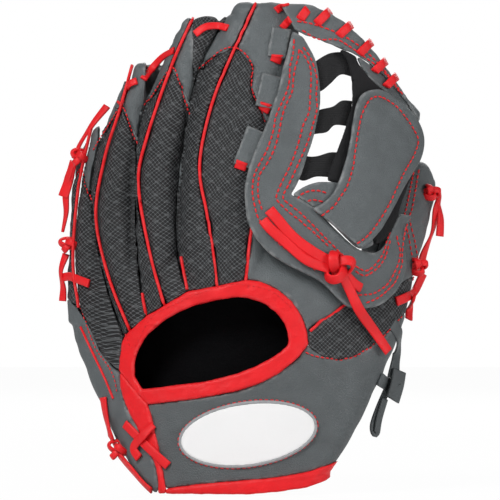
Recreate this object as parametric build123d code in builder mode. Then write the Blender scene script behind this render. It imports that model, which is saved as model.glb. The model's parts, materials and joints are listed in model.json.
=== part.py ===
"""A youth fielder's glove for the left hand, with four finger stalls, an open back and a split web.

Millimetres. +Z runs to the fingertips, -Y is the back of the hand, +X is the thumb side.
The origin lies on the bottom edge of the palm, in the middle of the heel.
The cupped glove is drawn on one curved back surface: a round arc in plan, whose middle leans
to the palm side as it climbs. Every layer and stall is set out from that surface by a depth,
counted inwards, so a depth below zero stands proud of the back."""

import math
import os

from build123d import *

os.makedirs("parts", exist_ok=True)

# Overall form
glove_height = 245.0
cup_radius = 100.0
cup_axis_x = 2.0
fingertip_lean = 26.0
heel_thickness = 22.0
hand_thickness = 28.0

# Material and fit
leather = 2.2
lining = 1.2
clearance = 0.3
trim_stand = 1.2
seam_width = 1.4
split_depth = 9.5
sliver_share = 0.06
pattern_top = 262.0
tip_round = 6.0
panel_gap = 0.4
fold_room = 6.0

# Web
web_gap = 1.5
web_leather = 2.0
band_thickness = 1.7
pad_thickness = 1.4
flap_thickness = 2.8
heel_pad = 2.8

# Oval patch on the strap
patch_x = 1.5
patch_z = 29.5
patch_half_width = 34.5
patch_half_height = 16.0
patch_turn = 8.0
patch_rim = 1.2

# Laces
lace_width = 5.5
lace_thickness = 1.6
knot_height = 4.5
knot_round = 3.0

# Closing of the pocket
fold_axis_x = 32.0
fold_axis_y = -15.0
fold_lean = 0.1
fold_angle = 22.0

heel_back_y = leather / 2 - heel_thickness - 0.02


def back_y(z):
    """Front of the back surface, at the middle of the hand, at one height."""
    return heel_back_y + fingertip_lean * (z / glove_height) ** 2


def cup_centre(z):
    """Centre of the plan arc at one height."""
    return Vector(cup_axis_x, back_y(z) + cup_radius)


def cup_point(z, depth, angle):
    """Point of a layer in plan, by its angle from the middle of the back."""
    reach = cup_radius - depth
    turn = math.radians(angle)
    return cup_centre(z) + Vector(reach * math.sin(turn), -reach * math.cos(turn))


def cup_layer(front, back, low=-6.0, high=251.0):
    """Solid between two depths of the curved back surface."""
    half_angle = 84.0
    steps = 5
    with BuildPart() as layer:
        for step in range(steps):
            z = low + (high - low) * step / (steps - 1)
            with BuildSketch(Plane.XY.offset(z)):
                with BuildLine():
                    outer = [cup_point(z, front, angle) for angle in (-half_angle, 0, half_angle)]
                    inner = [cup_point(z, back, angle) for angle in (half_angle, 0, -half_angle)]
                    ThreePointArc(*outer)
                    Line(outer[-1], inner[0])
                    ThreePointArc(*inner)
                    Line(inner[-1], outer[0])
                make_face()
        loft()
    return layer.part


# Round of a stall's section, as shares of its half width and half depth
corner = 0.74
stall_round = (
    (1, 0),
    (corner, corner),
    (0, 1),
    (-corner, corner),
    (-1, 0),
    (-corner, -corner),
    (0, -1),
    (corner, -corner),
)


def stall_section(station, level, inset):
    """Swollen oval of a stall at one level, turned to lie along the back surface."""
    z, left, right, half_depth = station
    reach = cup_radius - half_depth
    turn = math.asin(((left + right) / 2 - cup_axis_x) / reach)
    half_width = (right - left) / 2
    across = half_width**2 - (half_depth * math.sin(turn)) ** 2
    along = math.sqrt(max(across, (0.9 * half_depth * math.cos(turn)) ** 2)) / math.cos(turn)
    middle = cup_point(z, half_depth, math.degrees(turn))
    across_axis = Vector(math.cos(turn), math.sin(turn)) * (along - inset)
    depth_axis = Vector(-math.sin(turn), math.cos(turn)) * (half_depth - inset)
    with BuildSketch(Plane.XY.offset(level)) as section:
        with BuildLine():
            Spline(*[middle + across_axis * u + depth_axis * v for u, v in stall_round], periodic=True)
        make_face()
    return section.sketch


def stall(stations, inset):
    """Finger or thumb stall. Each station gives its height, left and right edge and half depth."""
    tip = stations[-1]
    radius = tip_round - inset
    with BuildPart() as tube:
        for station in stations[:-1]:
            add(stall_section(station, station[0], inset))
        add(stall_section(tip, tip[0] - tip_round, inset))
        loft()
        for angle in (0, 30, 60, 80):
            turn = math.radians(angle)
            level = tip[0] - tip_round + radius * math.sin(turn)
            add(stall_section(tip, level, inset + radius * (1 - math.cos(turn))))
        loft(ruled=True)
    return tube.part


def hand_tube(stations, inset):
    """Hollow of the hand. Each station gives height, left and right edge, front depth, thickness."""
    with BuildPart() as tube:
        for z, left, right, front, thickness in stations:
            depth = front + inset
            wall = thickness - 2 * inset
            middle = cup_radius - depth - wall / 2
            left_angle = math.degrees(math.asin((cup_axis_x - left - inset - wall / 2) / middle))
            right_angle = math.degrees(math.asin((right - inset - cup_axis_x - wall / 2) / middle))
            right_end = cup_point(z, depth + wall / 2, right_angle)
            left_end = cup_point(z, depth + wall / 2, -left_angle)
            right_turn = math.radians(right_angle)
            left_turn = math.radians(left_angle)
            right_cap = right_end + Vector(math.cos(right_turn), math.sin(right_turn)) * wall / 2
            left_cap = left_end + Vector(-math.cos(left_turn), math.sin(left_turn)) * wall / 2
            back = [cup_point(z, depth, angle) for angle in (-left_angle, 0, right_angle)]
            palm = [cup_point(z, depth + wall, angle) for angle in (right_angle, 0, -left_angle)]
            with BuildSketch(Plane.XY.offset(z)):
                with BuildLine():
                    ThreePointArc(*back)
                    ThreePointArc(back[-1], right_cap, palm[0])
                    ThreePointArc(*palm)
                    ThreePointArc(palm[-1], left_cap, back[0])
                make_face()
        loft()
    return tube.part


# Outlines of the back are drawn on a plane in front of the glove and carried through it
pattern_plane = Plane.XZ.offset(60)
pattern_reach = 160


def outline(*runs):
    """Closed outline on the pattern plane. A run of two points is straight, a longer one smooth."""
    with BuildSketch(pattern_plane) as face:
        with BuildLine():
            for run in runs:
                if len(run) == 2:
                    Line(*run)
                else:
                    Spline(*run)
        make_face()
    return face.sketch


def ribbon(points, width):
    """Strip of one width along a smooth line on the pattern plane."""
    with BuildSketch(pattern_plane) as strip:
        with BuildLine() as line:
            if len(points) == 2:
                Line(*points)
            else:
                Spline(*points)
        trace(line.line, width)
    return strip.sketch


def column(face):
    """The outline carried through the whole depth of the glove."""
    with BuildPart() as prism:
        extrude(face, amount=-pattern_reach)
    return prism.part


# Stations of the stalls: height, left edge, right edge, half depth
index_stations = (
    (84, -34, 9, 11),
    (117, -33.5, 10, 12),
    (146, -32.5, 9, 13),
    (171, -31.5, 14, 14),
    (196, -28, 21, 14),
    (218, -22, 25, 13),
    (233, -15, 26, 11),
    (glove_height, -7, 22, 8),
)
middle_stations = (
    (84, -52, -27, 10.5),
    (117, -55, -30, 11.5),
    (146, -56.5, -30, 12),
    (171, -55, -28, 12.5),
    (196, -48.5, -21, 12.5),
    (213, -42, -16, 12),
    (226, -36.5, -12, 10.5),
    (238, -32, -12, 7.5),
)
ring_stations = (
    (80, -68, -45, 10),
    (102, -72, -48, 10.5),
    (120, -75.5, -50, 11),
    (146, -78, -52, 11.5),
    (178, -72.5, -46, 11.5),
    (200, -64, -41, 10.5),
    (215, -57, -39.5, 7.5),
)
pinky_stations = (
    (84, -89, -66, 10),
    (121, -88.5, -66, 10.5),
    (146, -87.5, -65, 10.5),
    (166, -84.5, -64, 9.5),
    (184, -78.5, -63.5, 7.5),
)
thumb_stations = (
    (58, 38, 68, 12.5),
    (81, 46, 77.5, 13),
    (104, 54, 83.5, 13),
    (122, 60, 88.5, 13),
    (143, 67, 95, 12.5),
    (155, 74, 96, 10.5),
    (166, 78.5, 94.5, 8),
)
# Stations of the hand: height, left edge, right edge, front depth, thickness
hand_stations = (
    (0, -46, 41, 0, heel_thickness),
    (20, -61, 48, 0, heel_thickness + 3),
    (45, -73, 62, 0, hand_thickness - 1),
    (67, -82.5, 71, 0.5, hand_thickness),
    (92, -88.5, 78, 1.2, hand_thickness),
    (108, -86, 78, 2.5, hand_thickness - 5),
    (120, -80, 72, 6.5, hand_thickness - 14),
)
# The hollow runs on through the open heel and stops short of the finger roots
hollow_stations = ((-3.0,) + hand_stations[0][1:],) + hand_stations[1:-1]
stalls = {
    "index": index_stations,
    "middle": middle_stations,
    "ring": ring_stations,
    "pinky": pinky_stations,
    "thumb": thumb_stations,
}


def glove_body(inset):
    """Hand and five stalls as one swollen form."""
    with BuildPart() as body:
        add(hand_tube(hollow_stations if inset > 0 else hand_stations, inset))
        for one in stalls.values():
            add(stall(one, inset))
    return body.part


outer_form = glove_body(0.0)
trim_form = glove_body(-trim_stand)
inner_form = glove_body(leather)
back_zone = cup_layer(-8.0, split_depth)
palm_zone = cup_layer(split_depth + clearance, 80.0)

with BuildPart() as back_shell:
    add(outer_form)
    add(back_zone, mode=Mode.INTERSECT)
    add(inner_form, mode=Mode.SUBTRACT)

with BuildPart() as binding_shell:
    add(trim_form)
    add(back_zone, mode=Mode.INTERSECT)
    add(inner_form, mode=Mode.SUBTRACT)

with BuildPart() as palm_shell:
    add(outer_form)
    add(palm_zone, mode=Mode.INTERSECT)
    add(inner_form, mode=Mode.SUBTRACT)


def save(name, solids):
    """Write one piece, which may be several solids of one kind."""
    piece = Part(solids[0].wrapped) if len(solids) == 1 else Part(children=solids)
    piece.label = name
    export_step(piece, f"parts/{name}.step")
    return piece


def drawn_in(face, gap):
    """Outline drawn in by a gap, with a plain curve for every edge."""
    samples = 12
    with BuildSketch(pattern_plane) as narrow:
        add(face)
        offset(amount=-gap, kind=Kind.INTERSECTION)
    with BuildSketch(pattern_plane) as plain:
        with BuildLine():
            for edge in narrow.sketch_local.face().outer_wire().edges():
                if edge.geom_type == GeomType.LINE:
                    Line(edge @ 0, edge @ 1)
                else:
                    Spline(*[edge @ (step / samples) for step in range(samples + 1)])
        make_face()
    return plain.sketch


def pattern_piece(name, stock, face, holes=(), inside=None):
    """Piece of a curved stock inside an outline, drawn in by half the gap round every panel."""
    with BuildSketch(pattern_plane) as pattern:
        add(drawn_in(face, panel_gap / 2))
        for hole in holes:
            add(hole, mode=Mode.SUBTRACT)
        if inside is not None:
            add(inside, mode=Mode.INTERSECT)
    with BuildPart() as piece:
        add(stock)
        add(column(pattern.sketch), mode=Mode.INTERSECT)
    solids = piece.part.solids()
    whole = sum(solid.volume for solid in solids)
    return save(name, [solid for solid in solids if solid.volume > sliver_share * whole])


# Seam lines on the back, each a list of (X, Z)
pinky_ring = [
    (-60.5, 77.5),
    (-69, 101),
    (-76.5, 133.5),
    (-78.2, 146),
    (-72.5, 178),
    (-62, 204.5),
    (-52, 226),
]
ring_middle = [
    (-49, 88),
    (-54, 117.5),
    (-55, 150),
    (-53, 184),
    (-45.5, 205.5),
    (-37, 224.5),
    (-27, 246),
]
middle_index = [(-28.5, 100), (-34.5, 128.5), (-31.5, 171), (-23.5, 210.5), (-13.5, 230.5), (4, 256)]
index_leather = [(0, 105.8), (3, 134)]
index_far_edge = [(3, 134), (37, 160), (37, 256)]
heel_seam = [(-105, 96), (-86.5, 94), (-73, 71.5), (-62.6, 60)]
thumb_seam = [(32.4, 81), (50.5, 94)]
thumb_base = [(50.5, 94), (66, 97), (80, 105), (105, 112)]
thumb_inner_edge = [(50.5, 94), (60, 112), (64, 135), (58, 175)]
strap_top = [(31.2, 74), (44, 66.8), (62.5, 72.3), (80, 88.7), (105, 104)]
strap_foot = [(-39.5, 1.5), (-11, 5.5), (30.5, 10.5), (48, 16), (105, 24)]
side_binding_out = [(-62.6, 60), (-56.5, 37.5), (-47.5, 21), (-45, -8)]
side_binding_in = [(-48.5, 44), (-44, 27), (-40.5, 8), (-39.5, 1.5)]
opening_left = [(-62.6, 60), (-62.3, 69), pinky_ring[0]]
opening_ring = [pinky_ring[0], ring_middle[0]]
opening_right = [index_leather[0], (14.5, 102), (27, 89.5), (31.2, 74)]
opening_foot = [(31.2, 74), (16, 59.5), (-3, 51.5), (-48.5, 44)]
mouth_top = [(-55.5, 58), (-53, 72.5), (-36.5, 88.5), (-11, 97), (3.5, 97), (21, 82), (21.5, 73)]
mouth_foot = [(21.5, 73), (8, 64), (-19, 55.5), (-51.5, 51)]

# Edges where the mesh of each finger meets the leather of its tip
tip_edges = {
    "pinky": [(-100, 150), (-88, 156), (-82.5, 163), (-80.5, 153.5), (-74, 138)],
    "ring": [(-82, 162), (-72.5, 178), (-62.5, 193), (-58, 185), (-50, 160)],
    "middle": [(-60, 183), (-47.5, 197.5), (-37, 212.5), (-32.5, 204.5), (-26, 182)],
    "index": [(-36, 197), (-18, 216.5), (-5, 222.5), (4, 213), (3, 201.5), (10.5, 185), (38, 176)],
}
finger_seams = {
    "pinky": [(-74.5, 196), (-80.5, 171), (-84.5, 151), (-87, 116), (-84, 92)],
    "ring": [(-54.5, 222), (-62.5, 193), (-70.5, 167.5), (-75, 138), (-68.5, 108), (-57, 79.5)],
    "middle": [(-25, 240), (-37, 212.5), (-49, 177.5), (-53.2, 154.5), (-47.5, 120), (-40, 93)],
    "index": [(8, 250), (-5, 222), (-16.5, 193.5), (-22.5, 163), (-18.5, 137), (-13.5, 101)],
}
finger_outlines = {
    "pinky": outline(
        heel_seam,
        opening_left,
        pinky_ring,
        [pinky_ring[-1], (-105, 226)],
        [(-105, 226), (-105, 96)],
    ),
    "ring": outline(pinky_ring, [pinky_ring[-1], ring_middle[-1]], ring_middle[::-1], opening_ring[::-1]),
    "middle": outline(
        ring_middle,
        [ring_middle[-1], middle_index[-1]],
        middle_index[::-1],
        [middle_index[0], ring_middle[0]],
    ),
    "index": outline(
        middle_index,
        [middle_index[-1], index_far_edge[2]],
        [index_far_edge[2], index_far_edge[1]],
        [index_far_edge[1], index_far_edge[0]],
        index_leather[::-1],
        [index_leather[0], middle_index[0]],
    ),
}

for finger, face in finger_outlines.items():
    edge = tip_edges[finger]
    left_top, right_top = (edge[0][0], pattern_top), (edge[-1][0], pattern_top)
    sides = [[one, other] for one, other in zip(edge, edge[1:])]
    above = outline(*sides, [edge[-1], right_top], [right_top, left_top], [left_top, edge[0]])
    edge_gaps = [ribbon(side, panel_gap) for side in sides]
    seam = ribbon(finger_seams[finger], seam_width + panel_gap)
    pattern_piece(f"{finger}_mesh_back", back_shell.part, face, holes=[above, seam] + edge_gaps)
    pattern_piece(f"{finger}_tip_cap", back_shell.part, face, holes=[seam], inside=above)
    pattern_piece(
        f"{finger}_piping",
        binding_shell.part,
        face,
        inside=ribbon(finger_seams[finger], seam_width - panel_gap / 2),
    )

# Leather, mesh and bindings round the open back
opening = outline(
    opening_left,
    opening_ring,
    [ring_middle[0], middle_index[0]],
    [middle_index[0], index_leather[0]],
    opening_right,
    opening_foot,
    [opening_foot[-1], opening_left[0]],
)
mouth = outline(mouth_top, mouth_foot, [mouth_foot[-1], mouth_top[0]])
pattern_piece("opening_binding", binding_shell.part, opening, holes=[mouth])
pattern_piece(
    "hand_back_panel",
    back_shell.part,
    outline(
        index_leather,
        [index_leather[-1], thumb_inner_edge[-1]],
        thumb_inner_edge[::-1],
        thumb_seam[::-1],
        [thumb_seam[0], opening_right[-1]],
        opening_right[::-1],
    ),
    holes=[ribbon(thumb_inner_edge, fold_room)],
)
pattern_piece(
    "thumb_mesh_panel",
    back_shell.part,
    outline(
        thumb_seam,
        thumb_base,
        [thumb_base[-1], strap_top[-1]],
        strap_top[::-1],
        [strap_top[0], thumb_seam[0]],
    ),
)
pattern_piece(
    "thumb_back",
    back_shell.part,
    outline(
        thumb_base,
        [thumb_base[-1], (105, 182)],
        [(105, 182), thumb_inner_edge[-1]],
        thumb_inner_edge[::-1],
    ),
)
pattern_piece(
    "pinky_heel_panel",
    back_shell.part,
    outline(
        heel_seam,
        side_binding_out,
        [side_binding_out[-1], (-105, -8)],
        [(-105, -8), heel_seam[0]],
    ),
)
pattern_piece(
    "side_binding",
    binding_shell.part,
    outline(
        side_binding_out,
        [side_binding_out[-1], (-39.5, -8)],
        [(-39.5, -8), side_binding_in[-1]],
        side_binding_in[::-1],
        [side_binding_in[0], side_binding_out[0]],
    ),
)
pattern_piece(
    "wrist_strap",
    back_shell.part,
    outline(
        strap_top,
        [strap_top[-1], strap_foot[-1]],
        strap_foot[::-1],
        side_binding_in[::-1],
        opening_foot[::-1],
    ),
)
pattern_piece(
    "foot_binding",
    binding_shell.part,
    outline(
        strap_foot,
        [strap_foot[-1], (105, -8)],
        [(105, -8), (-39.5, -8)],
        [(-39.5, -8), strap_foot[0]],
    ),
)

# Palm: the finger side, the thumb side and the soft crease between them
fold_axis = Vector(0, fold_lean, 1)
fold_plane = Plane(
    origin=(fold_axis_x, fold_axis_y - 10 * fold_lean, -10), x_dir=(1, 0, 0), z_dir=fold_axis
)


def fold_wedge(start, end):
    """Space behind the fold axis between two angles, drawn in by the clearance."""
    reach = 140.0
    near = math.tan(math.radians(start)) * reach
    far = math.tan(math.radians(end)) * reach
    with BuildPart() as wedge:
        with BuildSketch(fold_plane):
            with BuildLine():
                Polyline((0, 0), (near, reach), (far, reach), close=True)
            make_face()
        extrude(amount=280)
    return wedge.part


with BuildPart() as palm_fingers:
    add(palm_shell.part)
    with Locations((fold_axis_x - 150, 0, 120)):
        Box(300 - 2 * clearance, 400, 400, mode=Mode.INTERSECT)
save("palm_fingers", palm_fingers.solids().sort_by(SortBy.VOLUME)[-1:])

with BuildPart() as palm_thumb:
    add(palm_shell.part)
    with Locations((fold_axis_x + 150, 0, 120)):
        Box(300, 400, 400, mode=Mode.INTERSECT)
    add(fold_wedge(0, fold_angle + 3), mode=Mode.SUBTRACT)
save("palm_thumb", palm_thumb.solids().sort_by(SortBy.VOLUME)[-1:])

with BuildPart() as palm_crease:
    add(palm_shell.part)
    add(fold_wedge(1.5, fold_angle + 1.5), mode=Mode.INTERSECT)
save("palm_crease", palm_crease.solids().sort_by(SortBy.VOLUME)[-1:])


def inner_skin(name, face, near, thickness, zone):
    """Layer that lies inside the hand, by its distance in from the outer form."""
    with BuildPart() as skin:
        add(hand_tube(hand_stations[:-1], near))
        add(hand_tube(hollow_stations, near + thickness), mode=Mode.SUBTRACT)
        add(zone, mode=Mode.INTERSECT)
        add(column(face), mode=Mode.INTERSECT)
    return save(name, skin.solids().sort_by(SortBy.VOLUME)[-1:])


pad_depth = leather + clearance
liner_depth = pad_depth + heel_pad + clearance
inner_skin(
    "pinky_heel_pad",
    outline([(-70, 62), (-76, 52), (-62, 22), (-50, 8), (-38, 14), (-46, 44), (-70, 62)]),
    pad_depth,
    heel_pad,
    palm_zone,
)
inner_skin(
    "thumb_heel_pad",
    outline([(49, 30), (58, 44), (64, 62), (58, 74), (50, 66), (49, 30)]),
    pad_depth,
    heel_pad,
    palm_zone,
)
inner_skin(
    "palm_liner",
    outline(
        [(-44, 3), (30, 3)],
        [(30, 3), (30, 98)],
        [(30, 98), (-82, 98)],
        [(-82, 98), (-70, 50), (-56, 20), (-44, 3)],
    ),
    liner_depth,
    lining,
    palm_zone,
)
inner_skin(
    "thumb_liner",
    outline([(50, 30), (50, 96)], [(50, 96), (72, 96)], [(72, 96), (66, 66), (50, 30)]),
    liner_depth,
    lining,
    palm_zone,
)

# Split web between the index finger and the thumb
web_stand = band_thickness + clearance
flap_stand = web_stand + web_leather + clearance
lace_stand = flap_stand
crown_leather = web_leather + 0.6


def web_piece(name, faces, stand, thickness):
    """Pieces of a sheet that follows the back surface, at one distance in front of it."""
    sheet = cup_layer(-(stand + thickness), -stand)
    solids = []
    for face in faces:
        with BuildPart() as piece:
            add(sheet)
            add(column(face), mode=Mode.INTERSECT)
        solids += piece.solids()
    return save(name, solids)


leaf_outer = [
    (24, 230),
    (18.5, 207),
    (9.5, 181),
    (0.8, 155),
    (1.5, 137),
    (9.5, 122),
    (41.5, 102),
    (51, 93.4),
    (62, 92),
    (73, 98),
    (80.5, 110),
    (80, 120),
    (84, 138),
]
leaf_inner = [(28.5, 227.5), (35.5, 214), (37.3, 196), (34, 178), (28, 160), (22, 148.4)]
web_base_inner = [
    (22, 148.4),
    (34.3, 141.2),
    (46.3, 130.2),
    (57.2, 121),
    (66, 119.5),
    (73, 129),
    (78, 139),
]
web_piece(
    "web_index_panel",
    [
        outline(
            leaf_outer,
            [leaf_outer[-1], web_base_inner[-1]],
            web_base_inner[::-1],
            leaf_inner[::-1],
            [leaf_inner[0], leaf_outer[0]],
        )
    ],
    web_stand,
    web_leather,
)
crown_upper = [(18.5, 243.5), (39.5, 241), (55.5, 230), (72.5, 210), (88, 190)]
crown_lower = [(25, 231.5), (43, 224.5), (59.5, 217), (73.5, 205.5), (88, 185.5)]
web_piece(
    "web_crown_bar",
    [
        outline(
            crown_upper,
            [crown_upper[-1], crown_lower[-1]],
            crown_lower[::-1],
            [crown_lower[0], crown_upper[0]],
        )
    ],
    web_stand,
    crown_leather,
)
crown_lace_lines = (
    [(27, 236.5), (32, 243)],
    [(35, 234.5), (42.5, 241)],
    [(46.5, 228.5), (54, 235.5)],
    [(58, 220), (64, 227.5)],
    [(66, 211.5), (71.5, 218)],
    [(72, 204.5), (77, 210)],
)
web_piece(
    "crown_lace",
    [ribbon(line, lace_width) for line in crown_lace_lines],
    web_stand + crown_leather + clearance,
    lace_thickness,
)
web_piece(
    "web_facing",
    [
        outline(
            [(56.8, 217.6), (60, 211), (70.5, 201), (84, 190.2)],
            [(84, 190.2), (73.3, 205), (56.8, 217.6)],
        )
    ],
    web_stand,
    pad_thickness,
)
band_outlines = (
    outline(
        [(35, 215), (41, 219), (47, 220.5), (54, 219)],
        [(54, 219), (54, 209)],
        [(54, 209), (48, 209), (42, 203.5), (35.5, 201)],
        [(35.5, 201), (35, 215)],
    ),
    outline(
        [(35.5, 190.5), (41, 191.5), (48, 196), (55.5, 196)],
        [(55.5, 196), (54, 183)],
        [(54, 183), (47, 184), (42, 180), (32.5, 178.5)],
        [(32.5, 178.5), (35.5, 190.5)],
    ),
    outline(
        [(28.5, 169), (34, 167.5), (41, 170), (50, 169.5)],
        [(50, 169.5), (45, 157)],
        [(45, 157), (38, 157.5), (31, 155.5), (25, 158.5)],
        [(25, 158.5), (28.5, 169)],
    ),
)
web_piece("web_elastic_bands", band_outlines, 0.0, band_thickness)
web_piece(
    "web_loop_pad",
    [
        outline(
            [(47.5, 221.5), (52.5, 213), (53, 191), (48, 175), (41.5, 156)],
            [(41.5, 156), (61, 151)],
            [(61, 151), (65, 124.2)],
            [(65, 124.2), (72, 129), (77.5, 142), (86, 165), (87.5, 183)],
            [(87.5, 183), (70.3, 200.3), (59.4, 210.5), (55.6, 218.1)],
            [(55.6, 218.1), (47.5, 221.5)],
        )
    ],
    web_stand,
    pad_thickness,
)
web_piece(
    "web_base_lobe",
    [
        outline(
            [(24, 148.4), (30, 152.4), (41, 154.6), (60, 149.6)],
            [(60, 149.6), (63.8, 124)],
            [(63.8, 124), (57.6, 122.2), (46.7, 131.4), (34.6, 142.6), (24, 148.4)],
        )
    ],
    web_stand,
    web_leather,
)
flap_edge = [
    (34.5, 141.5),
    (44.5, 150),
    (50.5, 165.5),
    (54, 183),
    (60, 199.5),
    (68.5, 201.5),
    (78, 195.5),
    (88, 185),
    (90, 171),
    (79.5, 152.5),
    (69.5, 133.5),
    (57.5, 122),
]
web_piece("web_flap", [outline(flap_edge, [flap_edge[-1], flap_edge[0]])], flap_stand, flap_thickness)

# Trim that stands on the index finger and on the wrist strap
belt_loop_outlines = (
    [(14, 232.5), (22.5, 231), (20, 217), (11.5, 218.5)],
    [(9, 209.5), (18.5, 207), (14.5, 191.5), (5.5, 193.5)],
    [(1.5, 182.5), (10.5, 179), (2, 162), (-5.5, 164.5)],
)
belt_faces = []
for corners in belt_loop_outlines:
    sides = [[one, other] for one, other in zip(corners, corners[1:] + corners[:1])]
    belt_faces.append(outline(*sides))
web_piece("index_belt_loops", belt_faces, clearance, web_gap - clearance)


def patch_oval(half_width, half_height):
    """Oval of the strap's patch, which rises a little to the thumb side."""
    with BuildSketch(pattern_plane) as oval:
        with Locations((patch_x, patch_z)):
            Ellipse(half_width, half_height, rotation=patch_turn)
    return oval.sketch


patch_inside = patch_oval(patch_half_width - patch_rim, patch_half_height - patch_rim)
web_piece("strap_patch", [patch_inside], clearance, lining)
rim_width = patch_rim - 0.2
with BuildSketch(pattern_plane) as rim_face:
    add(patch_oval(patch_half_width, patch_half_height))
    add(patch_oval(patch_half_width - rim_width, patch_half_height - rim_width), mode=Mode.SUBTRACT)
web_piece("patch_rim", [rim_face.sketch], clearance, lining)


# Laces
def lace_piece(name, faces, stand, thickness=lace_thickness):
    """Flat laces that follow the hand, at one distance in front of its outer form."""
    with BuildPart() as skin:
        add(hand_tube(hand_stations, -(stand + thickness)))
        add(hand_tube(hand_stations, -stand), mode=Mode.SUBTRACT)
        add(back_zone, mode=Mode.INTERSECT)
    solids = []
    for face in faces:
        with BuildPart() as piece:
            add(skin.part)
            add(column(face), mode=Mode.INTERSECT)
        solids += piece.solids().sort_by(SortBy.VOLUME)[-1:]
    return save(name, solids)


def side_lace(name, form, lines, knots, start, reach, stand=clearance):
    """Flat laces and tight knots on one side of a form, drawn as (Y, Z) seen from that side."""
    with BuildPart() as skin:
        add(form(-(stand + lace_thickness)))
        add(form(-stand), mode=Mode.SUBTRACT)
    with BuildPart() as lump:
        add(form(-(stand + knot_height)))
        add(form(-stand), mode=Mode.SUBTRACT)
    with BuildPart() as piece:
        for line, width in lines:
            with BuildPart(mode=Mode.PRIVATE) as strand:
                with BuildSketch(Plane.YZ.offset(start)):
                    with BuildLine() as path:
                        Spline(*line)
                    trace(path.line, width)
                extrude(amount=reach)
                add(skin.part, mode=Mode.INTERSECT)
            add(strand.part)
        for centre, width, height in knots:
            with BuildPart(mode=Mode.PRIVATE) as tied:
                with BuildSketch(Plane.YZ.offset(start)):
                    with Locations(centre):
                        RectangleRounded(width, height, knot_round)
                extrude(amount=reach)
                add(lump.part, mode=Mode.INTERSECT)
            add(tied.part)
    return save(name, piece.solids())


lace_piece("strap_lace", [ribbon([(-56, 31), (-38, 14)], lace_width)], trim_stand + clearance)
lace_piece("heel_lace", [ribbon([(-69, 52), (-65, 38)], lace_width)], clearance)
web_piece(
    "fingertip_laces",
    [ribbon([(-50, 209), (-37, 219)], 4.0), ribbon([(-24, 229), (-9, 232)], 4.0)],
    clearance,
    lace_thickness,
)

web_lace_plan = (
    ([(10, 139), (22, 127), (34, 116.5), (44, 112)], 8.0),
    ([(46, 108), (51, 103.5), (57, 102)], lace_width),
    ([(46, 107), (53, 97), (61, 84), (69, 69.5)], lace_width),
)
with BuildSketch(pattern_plane) as web_lace_face:
    for line, width in web_lace_plan:
        add(ribbon(line, width))
    with Locations((45.5, 112)):
        Circle(7.0)
web_piece("web_tie_lace", [web_lace_face.sketch], lace_stand, lace_thickness)

with BuildSketch(pattern_plane) as web_knot_face:
    with Locations((45.5, 112)):
        Circle(6.5)
web_piece("web_tie_knot", [web_knot_face.sketch], lace_stand + lace_thickness + 0.1, 3.0)

side_reach = 45
side_lace(
    "pinky_side_lace",
    lambda inset: stall(pinky_stations, inset),
    [([(42, 152), (38, 133), (37, 118), (34, 97)], lace_width)],
    [((37.5, 124), 8.0, 12.0)],
    -78,
    -side_reach,
    stand=trim_stand + clearance,
)
side_lace(
    "thumb_side_lace",
    lambda inset: stall(thumb_stations, inset),
    [([(46, 150), (38, 132), (29, 112)], lace_width)],
    [((46, 150), 9.0, 10.0), ((29, 112), 9.0, 8.0)],
    76,
    side_reach,
)
side_lace(
    "heel_tie",
    lambda inset: hand_tube(hand_stations, inset),
    [([(13, 57), (9.5, 48), (6, 38)], 8.0)],
    [],
    55,
    side_reach,
    stand=2 * clearance,
)
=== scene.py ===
"""A youth fielder's glove, dressed over its packed frame: leather, mesh, bindings, laces and stitching.

Metres. +Z runs to the fingertips, -Y is the back of the hand, +X is the thumb side."""

import json
import math

import bpy
import numpy as np
from bpy.props import FloatProperty, FloatVectorProperty, PointerProperty
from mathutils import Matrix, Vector
from mathutils.bvhtree import BVHTree

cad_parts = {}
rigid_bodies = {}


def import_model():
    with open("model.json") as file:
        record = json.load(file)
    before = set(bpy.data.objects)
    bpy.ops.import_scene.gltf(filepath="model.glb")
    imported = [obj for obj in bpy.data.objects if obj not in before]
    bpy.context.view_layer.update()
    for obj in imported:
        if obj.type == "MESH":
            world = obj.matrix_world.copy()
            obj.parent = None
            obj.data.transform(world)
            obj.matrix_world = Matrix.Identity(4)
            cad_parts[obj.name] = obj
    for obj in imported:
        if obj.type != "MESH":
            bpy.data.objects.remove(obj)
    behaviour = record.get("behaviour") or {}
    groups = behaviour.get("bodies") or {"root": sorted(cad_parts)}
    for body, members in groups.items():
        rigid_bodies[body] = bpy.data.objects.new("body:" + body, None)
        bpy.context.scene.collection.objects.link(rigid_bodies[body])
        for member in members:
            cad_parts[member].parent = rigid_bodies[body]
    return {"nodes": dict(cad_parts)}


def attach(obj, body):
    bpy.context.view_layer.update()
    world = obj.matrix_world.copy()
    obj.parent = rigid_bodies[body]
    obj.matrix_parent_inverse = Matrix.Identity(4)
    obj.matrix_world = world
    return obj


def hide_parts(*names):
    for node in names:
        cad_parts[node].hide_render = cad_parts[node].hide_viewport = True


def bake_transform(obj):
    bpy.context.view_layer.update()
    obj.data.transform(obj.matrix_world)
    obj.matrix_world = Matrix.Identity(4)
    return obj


bl_info = {
    "name": "Fielder's glove",
    "version": (1, 0, 0),
    "blender": (4, 5, 0),
    "location": "View3D > Sidebar > Glove",
    "description": "Makes the leather, mesh, laces and stitching of a youth fielder's glove",
    "category": "Object",
}

for unused in list(bpy.data.objects):
    bpy.data.objects.remove(unused)
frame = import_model()
bpy.ops.object.select_all(action="DESELECT")
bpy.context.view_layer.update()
cad = frame["nodes"]

MM = 0.001
ROOT = "glove_body"
THUMB = "thumb_side"
FLAP = "web_flap_body"
FINGERS = ("pinky", "ring", "middle", "index")

# Cup of the glove, in millimetres: its arc in plan, and how far its back leans from heel to tips
CUP_RADIUS = 100.0
CUP_X = 2.0
HEEL_Y = 1.1 - 22.02
LEAN = 26.0
HEIGHT = 245.0

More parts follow.
